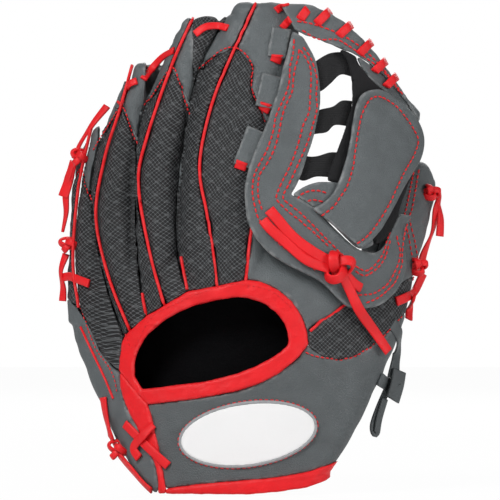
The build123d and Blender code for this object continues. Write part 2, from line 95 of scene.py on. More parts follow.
# Stalls, in millimetres: height, left edge, right edge, half depth
STALLS = {
    "index": [
        (84, -34, 9, 11), (117, -33.5, 10, 12), (146, -32.5, 9, 13), (171, -31.5, 14, 14),
        (196, -28, 21, 14), (218, -22, 25, 13), (233, -15, 26, 11), (245, -7, 22, 8),
    ],
    "middle": [
        (84, -52, -27, 10.5), (117, -55, -30, 11.5), (146, -56.5, -30, 12), (171, -55, -28, 12.5),
        (196, -48.5, -21, 12.5), (213, -42, -16, 12), (226, -36.5, -12, 10.5), (238, -32, -12, 7.5),
    ],
    "ring": [
        (80, -68, -45, 10), (102, -72, -48, 10.5), (120, -75.5, -50, 11), (146, -78, -52, 11.5),
        (178, -72.5, -46, 11.5), (200, -64, -41, 10.5), (215, -57, -39.5, 7.5),
    ],
    "pinky": [
        (84, -89, -66, 10), (121, -88.5, -66, 10.5), (146, -87.5, -65, 10.5), (166, -84.5, -64, 9.5),
        (184, -78.5, -63.5, 7.5),
    ],
    "thumb": [
        (58, 38, 68, 12.5), (81, 46, 77.5, 13), (104, 54, 83.5, 13), (122, 60, 88.5, 13),
        (143, 67, 95, 12.5), (155, 74, 96, 10.5), (166, 78.5, 94.5, 8),
    ],
}

# Seam lines on the back, as (X, Z) in millimetres
SEAMS = {
    "pinky": [(-74.5, 196), (-80.5, 171), (-84.5, 151), (-87, 116), (-84, 92)],
    "ring": [(-54.5, 222), (-62.5, 193), (-70.5, 167.5), (-75, 138), (-68.5, 108), (-57, 79.5)],
    "middle": [(-25, 240), (-37, 212.5), (-49, 177.5), (-53.2, 154.5), (-47.5, 120), (-40, 93)],
    "index": [(8, 250), (-5, 222), (-16.5, 193.5), (-22.5, 163), (-18.5, 137), (-13.5, 101)],
    "pinky_ring": [(-60.5, 77.5), (-69, 101), (-76.5, 133.5), (-78.2, 146), (-72.5, 178), (-62, 204.5)],
    "ring_middle": [(-49, 88), (-54, 117.5), (-55, 150), (-53, 184), (-45.5, 205.5), (-37, 224.5)],
    "middle_index": [(-28.5, 100), (-34.5, 128.5), (-31.5, 171), (-23.5, 210.5), (-13.5, 230.5)],
    "index_leather": [(0, 105.8), (3, 134)],
    "thumb": [(32.4, 81), (50.5, 94)],
    "heel": [(-86.5, 94), (-73, 71.5), (-62.6, 60)],
}
SHORT_SEAMS = (
    [(-28.5, 101.5), (-30, 109), (-31.5, 117.5)],
    [(-49, 88.5), (-50.3, 94), (-51, 99.5)],
    [(0, 106), (1.5, 120), (3, 134)],
)
VALLEYS = (SEAMS["pinky_ring"], SEAMS["ring_middle"], SEAMS["middle_index"])
TIP_EDGES = {
    "pinky": [(-88, 156), (-82.5, 163), (-80.5, 153.5), (-74, 138)],
    "ring": [(-82, 162), (-72.5, 178), (-62.5, 193), (-58, 185), (-50, 160)],
    "middle": [(-60, 183), (-47.5, 197.5), (-37, 212.5), (-32.5, 204.5), (-26, 182)],
    "index": [(-36, 197), (-18, 216.5), (-5, 222.5), (4, 213), (3, 201.5), (10.5, 185)],
}


def back_y(z):
    """Y of the back surface in the middle of the hand, in millimetres."""
    return HEEL_Y + LEAN * (z / HEIGHT) ** 2


def layer_point(x, z, depth):
    """Point of a layer of the cupped glove over (x, z) millimetres, in metres."""
    reach = CUP_RADIUS - depth
    side = min(max(x - CUP_X, -reach * 0.999), reach * 0.999)
    return Vector((x, back_y(z) + CUP_RADIUS - math.sqrt(reach**2 - side**2), z)) * MM


# Foot of the strap side: X, lifted bottom edge and the height above which nothing moves, in millimetres
FOOT_LINE = [(2, 0, 7), (16, 1.2, 8.5), (31, 3.2, 10.5), (40.5, 6.5, 13.5), (46.5, 10, 16), (60, 12, 19)]


def foot_lifted(co):
    """Positions with the bottom edge rising towards the thumb side."""
    line = np.array(FOOT_LINE) * MM
    lift, top = (np.interp(co[:, 0], line[:, 0], line[:, k]) for k in (1, 2))
    low = co[:, 2] < top
    out = co.copy()
    out[:, 2] = np.where(low, lift + co[:, 2] * (top - lift) / top, co[:, 2])
    return out


# Mesh helpers


def activate(piece):
    """Make one object the only selected and active one."""
    bpy.ops.object.select_all(action="DESELECT")
    piece.select_set(True)
    bpy.context.view_layer.objects.active = piece


def apply_modifier(piece, kind, name="finish", **values):
    """Add one modifier with its values and apply it."""
    activate(piece)
    modifier = piece.modifiers.new(name, kind)
    for key, value in values.items():
        setattr(modifier, key, value)
    bpy.ops.object.modifier_apply(modifier=modifier.name)


def new_piece(name, points, faces):
    """Mesh object from points and faces, in the row frame."""
    mesh = bpy.data.meshes.new(name)
    mesh.from_pydata([tuple(p) for p in points], [], faces)
    mesh.validate()
    mesh.shade_smooth()
    piece = bpy.data.objects.new(name, mesh)
    bpy.context.scene.collection.objects.link(piece)
    return piece


def edit_all(piece, operator, **values):
    """Run one mesh operator on the whole of a piece."""
    activate(piece)
    bpy.ops.object.mode_set(mode="EDIT")
    bpy.ops.mesh.select_all(action="SELECT")
    operator(**values)
    bpy.ops.object.mode_set(mode="OBJECT")


def face_outward(piece):
    """Turn all faces of a closed piece outwards."""
    edit_all(piece, bpy.ops.mesh.normals_make_consistent, inside=False)


def coordinates(piece):
    """Vertex positions as an array."""
    co = np.zeros(len(piece.data.vertices) * 3)
    piece.data.vertices.foreach_get("co", co)
    return co.reshape(-1, 3)


def set_coordinates(piece, co):
    """Write vertex positions back."""
    piece.data.vertices.foreach_set("co", co.astype(np.float32).ravel())
    piece.data.update()


def normals_of(piece):
    """Vertex normals as an array."""
    out = np.zeros(len(piece.data.vertices) * 3)
    piece.data.vertex_normals.foreach_get("vector", out)
    return out.reshape(-1, 3)


def smooth_line(points, step=0.6):
    """Points of a smooth line through the given ones, a fixed step apart, in the same unit."""
    pts = [np.array(p, float) for p in points]
    if len(pts) == 2:
        dense = [pts[0] * (1 - t) + pts[1] * t for t in np.linspace(0, 1, 40)]
    else:
        dense = []
        padded = [2 * pts[0] - pts[1]] + pts + [2 * pts[-1] - pts[-2]]
        for a, b, c, d in zip(padded, padded[1:], padded[2:], padded[3:]):
            for t in np.linspace(0, 1, 24, endpoint=False):
                square = (2 * a - 5 * b + 4 * c - d) * t**2
                cube = (3 * b - 3 * c + d - a) * t**3
                dense.append(0.5 * (2 * b + (c - a) * t + square + cube))
        dense.append(pts[-1])
    dense = np.array(dense)
    run = np.concatenate([[0], np.cumsum(np.linalg.norm(np.diff(dense, axis=0), axis=1))])
    count = max(2, int(run[-1] / step) + 1)
    at = np.linspace(0, run[-1], count)
    return np.stack([np.interp(at, run, dense[:, k]) for k in range(dense.shape[1])], axis=1)


def line_distance(co, line):
    """Distance in the XZ plane, in metres, from each vertex to a line in millimetres."""
    path = smooth_line(line, 1.5) * MM
    best = np.full(len(co), 1e9)
    for a, b in zip(path, path[1:]):
        d = b - a
        span = max(float(d @ d), 1e-12)
        t = np.clip(((co[:, [0, 2]] - a) @ d) / span, 0, 1)
        near = a + t[:, None] * d
        best = np.minimum(best, np.linalg.norm(co[:, [0, 2]] - near, axis=1))
    return best


def soft_noise(co, size, seed):
    """Smooth pseudo-random value from -1 to 1 for each point, at one feature size."""
    rng = np.random.default_rng(seed)
    total = np.zeros(len(co))
    for _ in range(7):
        direction = rng.normal(size=3)
        direction /= np.linalg.norm(direction)
        turn = 2 * math.pi / (size * rng.uniform(0.7, 1.6))
        total += np.sin(co @ direction * turn + rng.uniform(0, 6.28))
    return total / 3.5


WEAR_AND_SHADE_GAIN = 2.5


def store_wear_and_shade(piece):
    """Store how sharply the surface stands out at each vertex, for wear and dirt in the material."""
    mesh = piece.data
    co = coordinates(piece)
    normal = normals_of(piece)
    edges = np.zeros(len(mesh.edges) * 2, int)
    mesh.edges.foreach_get("vertices", edges)
    edges = edges.reshape(-1, 2)
    total = np.zeros((len(co), 3))
    count = np.zeros(len(co))
    for a, b in ((0, 1), (1, 0)):
        np.add.at(total, edges[:, a], co[edges[:, b]])
        np.add.at(count, edges[:, a], 1)
    mean = total / np.maximum(count, 1)[:, None]
    length = np.linalg.norm(co[edges[:, 0]] - co[edges[:, 1]], axis=1).mean()
    value = np.einsum("ij,ij->i", co - mean, normal) / max(length, 1e-9)
    value = np.clip(0.5 + value * WEAR_AND_SHADE_GAIN, 0, 1)
    for _ in range(2):
        total = np.zeros(len(co))
        for a, b in ((0, 1), (1, 0)):
            np.add.at(total, edges[:, a], value[edges[:, b]])
        value = 0.5 * value + 0.5 * total / np.maximum(count, 1)
    # This value drives both pale wear on raised edges and painted shade in the hollows.
    attribute = mesh.attributes.new("wear_and_shade", "FLOAT", "POINT")
    attribute.data.foreach_set("value", value.astype(np.float32))


WELD = 0.00002
VALLEY_DEEP, VALLEY_WIDE = 1.3, 2.6


def worked(
    node, name, voxel=0.0008, rounds=5, dent=0.00035, dent_size=0.016, channels=(), sink=0.0009,
    width=0.0016, swell=0.00045, facing=-1,
):
    """Leather or fabric over one CAD solid: rounded, swollen, dented, and drawn in along its seams."""
    piece = bpy.data.objects.new(name, cad[node].data.copy())
    piece.data.materials.clear()
    bpy.context.scene.collection.objects.link(piece)
    edit_all(piece, bpy.ops.mesh.remove_doubles, threshold=WELD)
    size = voxel
    apply_modifier(piece, "REMESH", mode="VOXEL", voxel_size=size, use_smooth_shade=True)
    if not piece.data.vertices:
        raise RuntimeError(f"{name}: nothing is left after the remesh")
    apply_modifier(piece, "SMOOTH", factor=0.5, iterations=rounds)
    co = coordinates(piece)
    normal = normals_of(piece)
    broad = soft_noise(co, dent_size, len(name)) * dent
    fine = soft_noise(co, dent_size / 3, len(name) + 5) * dent * 0.3
    shift = swell + broad + fine
    outer = np.clip(facing * normal[:, 1] * 2 + 0.8, 0, 1)
    for line in channels:
        deep, wide = (VALLEY_DEEP, VALLEY_WIDE) if line in VALLEYS else (1, 1)
        near = np.exp(-((line_distance(co, line) / (wide * width)) ** 2))
        shift = shift - deep * sink * near * outer
    set_coordinates(piece, foot_lifted(co + normal * shift[:, None]))
    piece.data.shade_smooth()
    store_wear_and_shade(piece)
    return piece


def dress(piece, material, body, nodes=(), blended=None):
    """Give a finished piece its material, its body and the CAD nodes that it stands for."""
    piece.data.materials.clear()
    piece.data.materials.append(material)
    if nodes:
        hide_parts(*nodes)
    if blended:
        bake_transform(piece)
    else:
        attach(piece, body)
    return piece


# Places tried beside a point that the ray from the back misses, in millimetres
BESIDE = ((0.9, 0), (-0.9, 0), (0, 0.9), (0, -0.9), (1.7, 0), (-1.7, 0), (0, 1.7), (0, -1.7))


class Skin:
    """The outer surface of some pieces, on which lines are laid from the back of the hand."""

    def __init__(self, *names, from_palm=False):
        self.way = -1 if from_palm else 1
        points, faces = [], []
        for name in names:
            piece = bpy.data.objects[name]
            base = len(points)
            points.extend(tuple(p) for p in coordinates(piece))
            faces.extend([base + v for v in polygon.vertices] for polygon in piece.data.polygons)
        self.tree = BVHTree.FromPolygons(points, faces)

    def cast(self, x, z):
        """First point and normal met from the looked-at side at (x, z) millimetres."""
        return self.tree.ray_cast(Vector((x * MM, -0.2 * self.way, z * MM)), Vector((0, self.way, 0)))[:2]

    def drop(self, x, z, lift=0.0):
        """Point and normal of the surface over or just beside (x, z) millimetres, or None."""
        hit, normal = self.cast(x, z)
        if hit is None:
            near = [self.cast(x + dx, z + dz) for dx, dz in BESIDE]
            near = [(point, way) for point, way in near if point]
            if not near:
                return None
            point, normal = min(near, key=lambda found: found[0].y * self.way)
            hit = Vector((x * MM, point.y, z * MM))
        if normal.y * self.way > 0:
            normal = -normal
        return hit + normal * lift * MM, normal

    def lay(self, line, step=0.6, lift=0.0, jump=6.0):
        """Runs of points and normals of a smooth line laid on the surface."""
        runs, run = [], []
        last = None
        for x, z in smooth_line(line, step):
            got = self.drop(x, z, lift)
            if got is None:
                continue
            if last is not None and (got[0] - last).length > jump * MM:
                if len(run) > 2:
                    runs.append(run)
                run = []
            run.append(got)
            last = got[0]
        if len(run) > 2:
            runs.append(run)
        return runs


def eased(run, times=3):
    """Smooth the points and normals of one laid run."""
    points = np.array([p for p, _ in run])
    normal = np.array([n for _, n in run])
    for _ in range(times):
        points[1:-1] = (points[:-2] + 2 * points[1:-1] + points[2:]) / 4
        normal[1:-1] = (normal[:-2] + 2 * normal[1:-1] + normal[2:]) / 4
    normal /= np.linalg.norm(normal, axis=1)[:, None]
    return [(Vector(p), Vector(n)) for p, n in zip(points, normal)]


def add_tube(points, faces, rings):
    """Add one closed tube through equal rings of points."""
    base, size = len(points), len(rings[0])
    for ring in rings:
        points.extend(ring)
    for level in range(len(rings) - 1):
        for k in range(size):
            a, b = base + level * size + k, base + level * size + (k + 1) % size
            faces.append((a, a + size, b + size, b))
    faces.append(tuple(range(base, base + size)))
    faces.append(tuple(range(len(points) - size, len(points)))[::-1])


def sideways(tangent, normal):
    """Directions across a line and up from it."""
    side = tangent.cross(normal).normalized()
    return side, side.cross(tangent).normalized()


def swept(runs, name, width, thickness, power=3.0, sides=12):
    """Strips or cords swept along runs of points and normals; a high power gives a flat strip."""
    points, faces = [], []
    for run in runs:
        if len(run) < 2:
            continue
        rings = []
        for i, (p, n) in enumerate(run):
            before, after = run[max(i - 1, 0)][0], run[min(i + 1, len(run) - 1)][0]
            side, up = sideways((after - before).normalized(), n)
            ring = []
            for k in range(sides):
                turn = 2 * math.pi * k / sides
                c, s = math.cos(turn), math.sin(turn)
                u = math.copysign(abs(c) ** (2 / power), c) * width / 2
                v = math.copysign(abs(s) ** (2 / power), s) * thickness / 2
                ring.append(p + side * u + up * v)
            rings.append(ring)
        add_tube(points, faces, rings)
    if not faces:
        raise RuntimeError(f"{name}: no run to sweep along")
    piece = new_piece(name, points, faces)
    face_outward(piece)
    return piece


# One stitch: places along it and the share of its width there
STITCH_RINGS = ((0, 0.25), (0.14, 0.85), (0.5, 1.0), (0.86, 0.85), (1, 0.25))
STITCH_SIDES = 6


def stitched(skin, lines, name, stitch=2.3, gap=0.7, width=0.95, lift=0.2):
    """Rows of thread dashes laid on a skin."""
    points, faces = [], []
    for run in (eased(run, 4) for line in lines for run in skin.lay(line, 0.35)):
        steps = [(b[0] - a[0]).length for a, b in zip(run, run[1:])]
        place = np.concatenate([[0], np.cumsum(steps)])
        at = 0.0
        while at + stitch * MM < place[-1]:
            i, j = np.searchsorted(place, at), np.searchsorted(place, at + stitch * MM)
            (p, n), (q, _) = run[i], run[min(j, len(run) - 1)]
            at += (stitch + gap) * MM
            if (q - p).length < 0.6 * stitch * MM:
                continue
            side, up = sideways((q - p).normalized(), n)
            rings = []
            for t, r in STITCH_RINGS:
                sag = lift + 0.12 * math.sin(math.pi * t) - 0.3 * (1 - r)
                centre = p.lerp(q, t) + up * sag * MM
                ring = []
                for k in range(STITCH_SIDES):
                    turn = 2 * math.pi * k / STITCH_SIDES
                    offset = side * math.cos(turn) + up * math.sin(turn) * 0.75
                    ring.append(centre + offset * width / 2 * r * MM)
                rings.append(ring)
            add_tube(points, faces, rings)
    return new_piece(name, points, faces)


KNOT_STEPS = 90


def knotted(name, centre, size, normal, along, width, thickness):
    """Tight overhand knot of a flat lace, about one centre, in millimetres."""
    n = Vector(normal).normalized()
    a = (Vector(along) - n * Vector(along).dot(n)).normalized()
    b = n.cross(a)
    run = []
    for i in range(KNOT_STEPS + 1):
        t = 2 * math.pi * i / KNOT_STEPS
        u = (math.sin(t) + 2 * math.sin(2 * t)) / 3
        v = (math.cos(t) - 2 * math.cos(2 * t)) / 3
        w = -math.sin(3 * t)
        p = Vector(centre) + a * u * size[0] / 2 + b * v * size[1] / 2 + n * w * size[2] / 2
        outward = (n * (1.2 + w) + (a * u + b * v) * 1.4).normalized()
        run.append((p * MM, outward))
    return swept([run], name, width * MM, thickness * MM, power=3.2)


# Materials


def node(tree, kind, **values):
    """Add one node; values name its inputs, or its properties where it has no such input."""
    made = tree.nodes.new(kind)
    for key, value in values.items():
        label = key.replace("_", " ")
        if label in made.inputs:
            made.inputs[label].default_value = value
        else:
            setattr(made, key, value)
    return made


def object_place(tree):
    """Socket of the object's own coordinates."""
    return node(tree, "ShaderNodeTexCoord").outputs["Object"]


def noise(tree, scale, place=None, detail=2.0):
    """Noise at one scale, on its default coordinates or on given ones; returns its output."""
    made = node(tree, "ShaderNodeTexNoise", Scale=scale, Detail=detail)
    if place:
        tree.links.new(place, made.inputs["Vector"])
    return made.outputs["Fac"]


def roughened(tree, shader, height, strength, distance=0.0004):
    """Raise a shader's surface by a height."""
    raised = node(tree, "ShaderNodeBump", Strength=strength, Distance=distance)
    tree.links.new(height, raised.inputs["Height"])
    tree.links.new(raised.outputs["Normal"], shader.inputs["Normal"])


def new_group(name, inputs, outputs):
    """Shader node group with its sockets."""
    tree = bpy.data.node_groups.new(name, "ShaderNodeTree")
    for label, kind, default in inputs:
        socket = tree.interface.new_socket(label, in_out="INPUT", socket_type=kind)
        socket.default_value = default
    for label, kind in outputs:
        tree.interface.new_socket(label, in_out="OUTPUT", socket_type=kind)
    return tree, tree.nodes.new("NodeGroupInput"), tree.nodes.new("NodeGroupOutput")


def maths(tree, operation, a, b=None, clamp=False):
    """Math node on sockets or numbers; returns its output."""
    made = tree.nodes.new("ShaderNodeMath")
    made.operation = operation
    made.use_clamp = clamp
    for index, value in enumerate((a, b)):
        if value is None:
            continue
        if isinstance(value, (int, float)):
            made.inputs[index].default_value = value
        else:
            tree.links.new(value, made.inputs[index])
    return made.outputs[0]


def blended_colour(tree, factor, first, second, mode="MIX"):
    """Mix two colours, given as sockets or tuples; returns the result socket."""
    made = tree.nodes.new("ShaderNodeMix")
    made.data_type = "RGBA"
    made.blend_type = mode
    for socket, value in ((made.inputs[0], factor), (made.inputs[6], first), (made.inputs[7], second)):
        if isinstance(value, (int, float)):
            socket.default_value = value
        elif isinstance(value, tuple):
            socket.default_value = (*value, 1) if len(value) == 3 else value
        else:
            tree.links.new(value, socket)
    return made.outputs[2]


def ranged(tree, value, low, high, out_low=0.0, out_high=1.0):
    """Map Range node; returns its output."""
    made = tree.nodes.new("ShaderNodeMapRange")
    tree.links.new(value, made.inputs[0])
    for index, number in zip((1, 2, 3, 4), (low, high, out_low, out_high)):
        made.inputs[index].default_value = number
    return made.outputs[0]


def grain_group():
    """Pebbled leather grain with creases: height and a colour mask."""
    tree, inside, outside = new_group(
        "Leather grain",
        [("Scale", "NodeSocketFloat", 900.0), ("Crease", "NodeSocketFloat", 90.0)],
        [("Height", "NodeSocketFloat"), ("Mottle", "NodeSocketFloat")],
    )
    place = object_place(tree)
    cells = node(tree, "ShaderNodeTexVoronoi", feature="DISTANCE_TO_EDGE")
    fine = node(tree, "ShaderNodeTexNoise", Detail=3.0)
    broad = node(tree, "ShaderNodeTexNoise", Detail=4.0)
    for made, scale in ((cells, "Scale"), (fine, "Scale"), (broad, "Crease")):
        tree.links.new(place, made.inputs["Vector"])
        tree.links.new(inside.outputs[scale], made.inputs["Scale"])
    pebble = maths(tree, "MULTIPLY", ranged(tree, cells.outputs["Distance"], 0.0, 0.18), 0.55)
    crease = ranged(tree, broad.outputs["Fac"], 0.42, 0.5)
    crease = maths(tree, "ABSOLUTE", maths(tree, "SUBTRACT", crease, 0.5))
    crease = maths(tree, "SUBTRACT", 1.0, crease)
    height = maths(tree, "ADD", pebble, maths(tree, "MULTIPLY", fine.outputs["Fac"], 0.35))
    height = maths(tree, "SUBTRACT", height, maths(tree, "MULTIPLY", crease, 0.12))
    tree.links.new(height, outside.inputs["Height"])
    tree.links.new(broad.outputs["Fac"], outside.inputs["Mottle"])
    return tree


def wear_and_shade_group():
    """Paler raised edges and darker hollows, from the piece's own wear attribute."""
    tree, inside, outside = new_group(
        "Edge wear and painted shade",
        [
            ("Colour", "NodeSocketColor", (0.1, 0.1, 0.1, 1)),
            ("Light", "NodeSocketFloat", 0.35),
            ("Dark", "NodeSocketFloat", 0.5),
        ],
        [("Colour", "NodeSocketColor")],
    )
    wear_and_shade = node(tree, "ShaderNodeAttribute", attribute_name="wear_and_shade").outputs["Fac"]
    rough = noise(tree, 240.0, object_place(tree))
    edge = maths(tree, "MULTIPLY", ranged(tree, wear_and_shade, 0.62, 0.95), ranged(tree, rough, 0.35, 0.65))
    # Sunken places get painted shade.
    hollow_shade = ranged(tree, wear_and_shade, 0.42, 0.15)
    colour = inside.outputs["Colour"]
    # Pale tint for worn edges, and near-black for the painted shade in the hollows.
    pale, painted_shade = (0.55, 0.55, 0.55), (0.005, 0.005, 0.006)
    for mask, amount, tint in ((edge, "Light", pale), (hollow_shade, "Dark", painted_shade)):
        share = maths(tree, "MULTIPLY", mask, inside.outputs[amount])
        colour = blended_colour(tree, share, colour, tint)
    tree.links.new(colour, outside.inputs["Colour"])
    return tree


def new_material(name):
    """Material with its Principled shader; returns material, tree and shader."""
    material = bpy.data.materials.new(name)
    material.use_nodes = True
    tree = material.node_tree
    shader = tree.nodes["Principled BSDF"]
    return material, tree, shader


def group_node(tree, group, **values):
    """Place one node group in a material with its own values."""
    made = tree.nodes.new("ShaderNodeGroup")
    made.node_tree = group
    for key, value in values.items():
        made.inputs[key].default_value = value
    return made


def leather(
    name, colour, groups, roughness=0.5, scale=900.0, bump=0.6, light=0.3, mottle=0.12, worn_and_shaded=True,
    shine=0.42,
):
    """Grained leather with mottled colour and worn edges."""
    material, tree, shader = new_material(name)
    grain = group_node(tree, groups["grain"], Scale=scale, Crease=110.0)
    shade = ranged(tree, grain.outputs["Mottle"], 0.3, 0.7, 1 - mottle, 1 + mottle * 0.6)
    base = blended_colour(tree, 1.0, (*colour, 1), shade, "MULTIPLY")
    # Pale worn edges and painted shade in the hollows, from the stored relief.
    if worn_and_shaded:
        wear_and_shade = group_node(tree, groups["wear_and_shade"], Light=light, Dark=0.5)
        tree.links.new(base, wear_and_shade.inputs["Colour"])
        base = wear_and_shade.outputs["Colour"]
    tree.links.new(base, shader.inputs["Base Color"])
    rough = ranged(tree, grain.outputs["Height"], 0.2, 0.8, roughness + 0.1, roughness - 0.08)
    tree.links.new(rough, shader.inputs["Roughness"])
    roughened(tree, shader, grain.outputs["Height"], bump)
    shader.inputs["Specular IOR Level"].default_value = shine
    return material


def ridges(tree, along):
    """Row of arches, one for each whole number."""
    wave = maths(tree, "SINE", maths(tree, "MULTIPLY", along, math.pi))
    return maths(tree, "ABSOLUTE", wave)


def diamonds(tree, u, v, wide, tall):
    """Product of two slanting waves: 0 along the threads and 1 in the middle of each diamond."""
    waves = []
    for sign in (1, -1):
        along = maths(tree, "ADD", maths(tree, "DIVIDE", u, wide), maths(tree, "DIVIDE", v, sign * tall))
        waves.append(ridges(tree, along))
    return maths(tree, "MULTIPLY", waves[0], waves[1])


def spacer_mesh(name, groups):
    """Open diamond mesh over a dark backing, on the finger's own wrapped coordinates."""
    material, tree, shader = new_material(name)
    wrap = node(tree, "ShaderNodeUVMap", uv_map="wrap")
    place = object_place(tree)
    shift = maths(tree, "MULTIPLY", maths(tree, "SUBTRACT", noise(tree, 90.0, place), 0.5), 0.0024)
    split = node(tree, "ShaderNodeSeparateXYZ")
    tree.links.new(wrap.outputs["UV"], split.inputs[0])
    u, v = (maths(tree, "ADD", split.outputs[axis], shift) for axis in ("X", "Y"))
    fuzz = noise(tree, 500.0, place)
    hole = maths(tree, "ADD", diamonds(tree, u, v, 0.0024, 0.0021), maths(tree, "MULTIPLY", fuzz, 0.25))
    dark = ranged(tree, hole, 0.22, 0.36)
    cable = ranged(tree, diamonds(tree, u, v, 0.0105, 0.0066), 0.12, 0.02)
    yarn = blended_colour(tree, fuzz, (0.035, 0.039, 0.042), (0.19, 0.2, 0.21))
    colour = blended_colour(tree, dark, yarn, (0.004, 0.004, 0.005))
    colour = blended_colour(tree, maths(tree, "MULTIPLY", cable, 0.42), colour, (0.17, 0.18, 0.186))
    # Painted shade darkens the mesh's hollows, and raised edges pale a little with wear.
    wear_and_shade = group_node(tree, groups["wear_and_shade"], Light=0.1, Dark=0.5)
    tree.links.new(colour, wear_and_shade.inputs["Colour"])
    tree.links.new(wear_and_shade.outputs["Colour"], shader.inputs["Base Color"])
    height = maths(tree, "ADD", maths(tree, "SUBTRACT", 1.0, dark), maths(tree, "MULTIPLY", cable, 0.6))
    roughened(tree, shader, height, 0.9, 0.0006)
    shader.inputs["Roughness"].default_value = 0.72
    return material


def toned(tree, shader, colour, tone, roughness):
    """Colour of a shader, darker and lighter with a tone, and its roughness."""
    base = blended_colour(tree, 1.0, (*colour, 1), tone, "MULTIPLY")
    tree.links.new(base, shader.inputs["Base Color"])
    shader.inputs["Roughness"].default_value = roughness


def ribbed(name, colour, pitch, axis, roughness=0.75, low=0.45, high=1.6):
    """Ribbed or piled fabric, in lines across one axis of the object."""
    material, tree, shader = new_material(name)
    split = node(tree, "ShaderNodeSeparateXYZ")
    tree.links.new(object_place(tree), split.inputs[0])
    along = maths(tree, "DIVIDE", split.outputs[axis], pitch)
    pile = maths(tree, "MULTIPLY", noise(tree, 900.0), 0.5)
    height = maths(tree, "ADD", maths(tree, "MULTIPLY", ridges(tree, along), 0.6), pile)
    # Colour follows the rib height: painted shade in the grooves, painted highlight on the crests, and
    # random pile tone.
    toned(tree, shader, colour, ranged(tree, height, 0.1, 1.0, low, high), roughness)
    roughened(tree, shader, height, 0.7)
    return material


def thread(name, colour):
    """Twisted sewing thread."""
    material, tree, shader = new_material(name)
    wave = node(tree, "ShaderNodeTexWave", Scale=900.0, Distortion=1.0)
    tree.links.new(object_place(tree), wave.inputs["Vector"])
    toned(tree, shader, colour, ranged(tree, wave.outputs["Fac"], 0.0, 1.0, 0.75, 1.1), 0.55)
    return material


MATERIALS = {}


def make_materials(look):
    """Build every finish once."""
    groups = {"grain": grain_group(), "wear_and_shade": wear_and_shade_group()}
    grey, red = tuple(look.leather_colour), tuple(look.trim_colour)
    strap, tie = (tuple(v * share for v in grey) for share in (0.85, 0.8))
    black = (0.0015, 0.0015, 0.002)
    hides = (
        ("leather", "Charcoal grained leather", grey, {}),
        ("strap", "Dark strap leather", strap, dict(roughness=0.46)),
        ("red", "Red binding leather", red,
         dict(roughness=0.42, scale=1300.0, bump=0.3, light=0.05, mottle=0.08, shine=0.3)),
        ("lace", "Red lace leather", red,
         dict(roughness=0.42, scale=1500.0, bump=0.3, mottle=0.08, worn_and_shaded=False, shine=0.35)),
        ("tie", "Grey lace leather", tie, dict(scale=1500.0, bump=0.25, mottle=0.2, worn_and_shaded=False)),
        ("lining", "Black lining leather", black, dict(roughness=0.9, bump=0.2, light=0.0, shine=0.1)),
    )
    for key, name, colour, values in hides:
        MATERIALS[key] = leather(name, colour, groups, **values)
    MATERIALS["mesh"] = spacer_mesh("Open spacer mesh", groups)
    fabrics = (
        ("felt", "Grey felt padding", (0.16, 0.16, 0.17), 0.002, 0),
        ("elastic", "Black ribbed elastic", (0.005, 0.005, 0.006), 0.0011, 2),
        ("loop", "Black loop pile", (0.004, 0.004, 0.005), 0.0007, 0, 0.9),
        ("patch", "White woven patch", (1.0, 1.0, 1.0), 0.0005, 2, 0.5, 0.93, 1.0),
        ("rim", "Grey embroidered rim", (0.3, 0.31, 0.32), 0.0006, 0, 0.6),
    )
    for key, *values in fabrics:
        MATERIALS[key] = ribbed(*values)
    MATERIALS["thread"] = thread("Red thread", tuple(min(1.0, v * 0.95) for v in red))


# Pieces

FOLD_START = Vector((0.024, 0, 0.05))
FOLD_END = Vector((0.062, 0, 0.05))


def folded(bend):
    """Ends of the bend over the pocket's fold, or None."""
    return (FOLD_START, FOLD_END) if bend else None


def cover(node, name, finish, body, slot, *sizes, bend=False, **more):
    """One worked piece in its material, in the place of its CAD node."""
    piece = worked(node, name, *sizes, **more)
    return dress(piece, MATERIALS[finish], body, [node], folded(bend))


def piping(skin, lines, name, body, lift, rounds, width=0.0015, height=0.0017, sides=12, nodes=()):
    """Red cord in the seam along some lines."""
    runs = [eased(run, rounds) for line in lines for run in skin.lay(line, lift=lift, jump=9.0)]
    cord = swept(runs, name, width, height, 2.2, sides)
    store_wear_and_shade(cord)
    dress(cord, MATERIALS["red"], body, nodes)


def sewn(skin, lines, name, body, *sizes, bend=False):
    """Rows of red stitches."""
    rows = stitched(skin, lines, name, *sizes)
    dress(rows, MATERIALS["thread"], body, (), folded(bend))


def store_wrap(piece, u, v):
    """Keep wrapped coordinates, given per vertex in millimetres, as the piece's own UV map."""
    wrap = piece.data.uv_layers.new(name="wrap")
    loops = np.zeros(len(piece.data.loops), int)
    piece.data.loops.foreach_get("vertex_index", loops)
    uv = np.stack([u * MM, v * MM], axis=1)[loops]
    wrap.data.foreach_set("uv", uv.astype(np.float32).ravel())


def finger_wrap(piece, finger):
    """Wrapped coordinates of a finger's surface: round the stall and along it."""
    rows = np.array(STALLS[finger], float)
    co = coordinates(piece) / MM
    z = np.clip(co[:, 2], rows[0, 0], rows[-1, 0])
    left, right, half = (np.interp(z, rows[:, 0], rows[:, k]) for k in (1, 2, 3))
    turn = np.arcsin(((left + right) / 2 - CUP_X) / (CUP_RADIUS - half))
    reach = CUP_RADIUS - half
    cx = CUP_X + reach * np.sin(turn)
    cy = back_y(z) + CUP_RADIUS - reach * np.cos(turn)
    angle = np.arctan2(co[:, 0] - cx, cy - co[:, 1])
    store_wrap(piece, (angle - turn) * ((right - left) / 2 + half) / 2, co[:, 2])


def cup_wrap(piece):
    """Wrapped coordinates along the cup's arc and its height."""
    co = coordinates(piece) / MM
    angle = np.arctan2(co[:, 0] - CUP_X, back_y(co[:, 2]) + CUP_RADIUS - co[:, 1])
    store_wrap(piece, angle * CUP_RADIUS, co[:, 2])


FINGER_SIDES = {
    "pinky": ["pinky_ring"],
    "ring": ["pinky_ring", "ring_middle"],
    "middle": ["ring_middle", "middle_index"],
    "index": ["middle_index", "index_leather"],
}


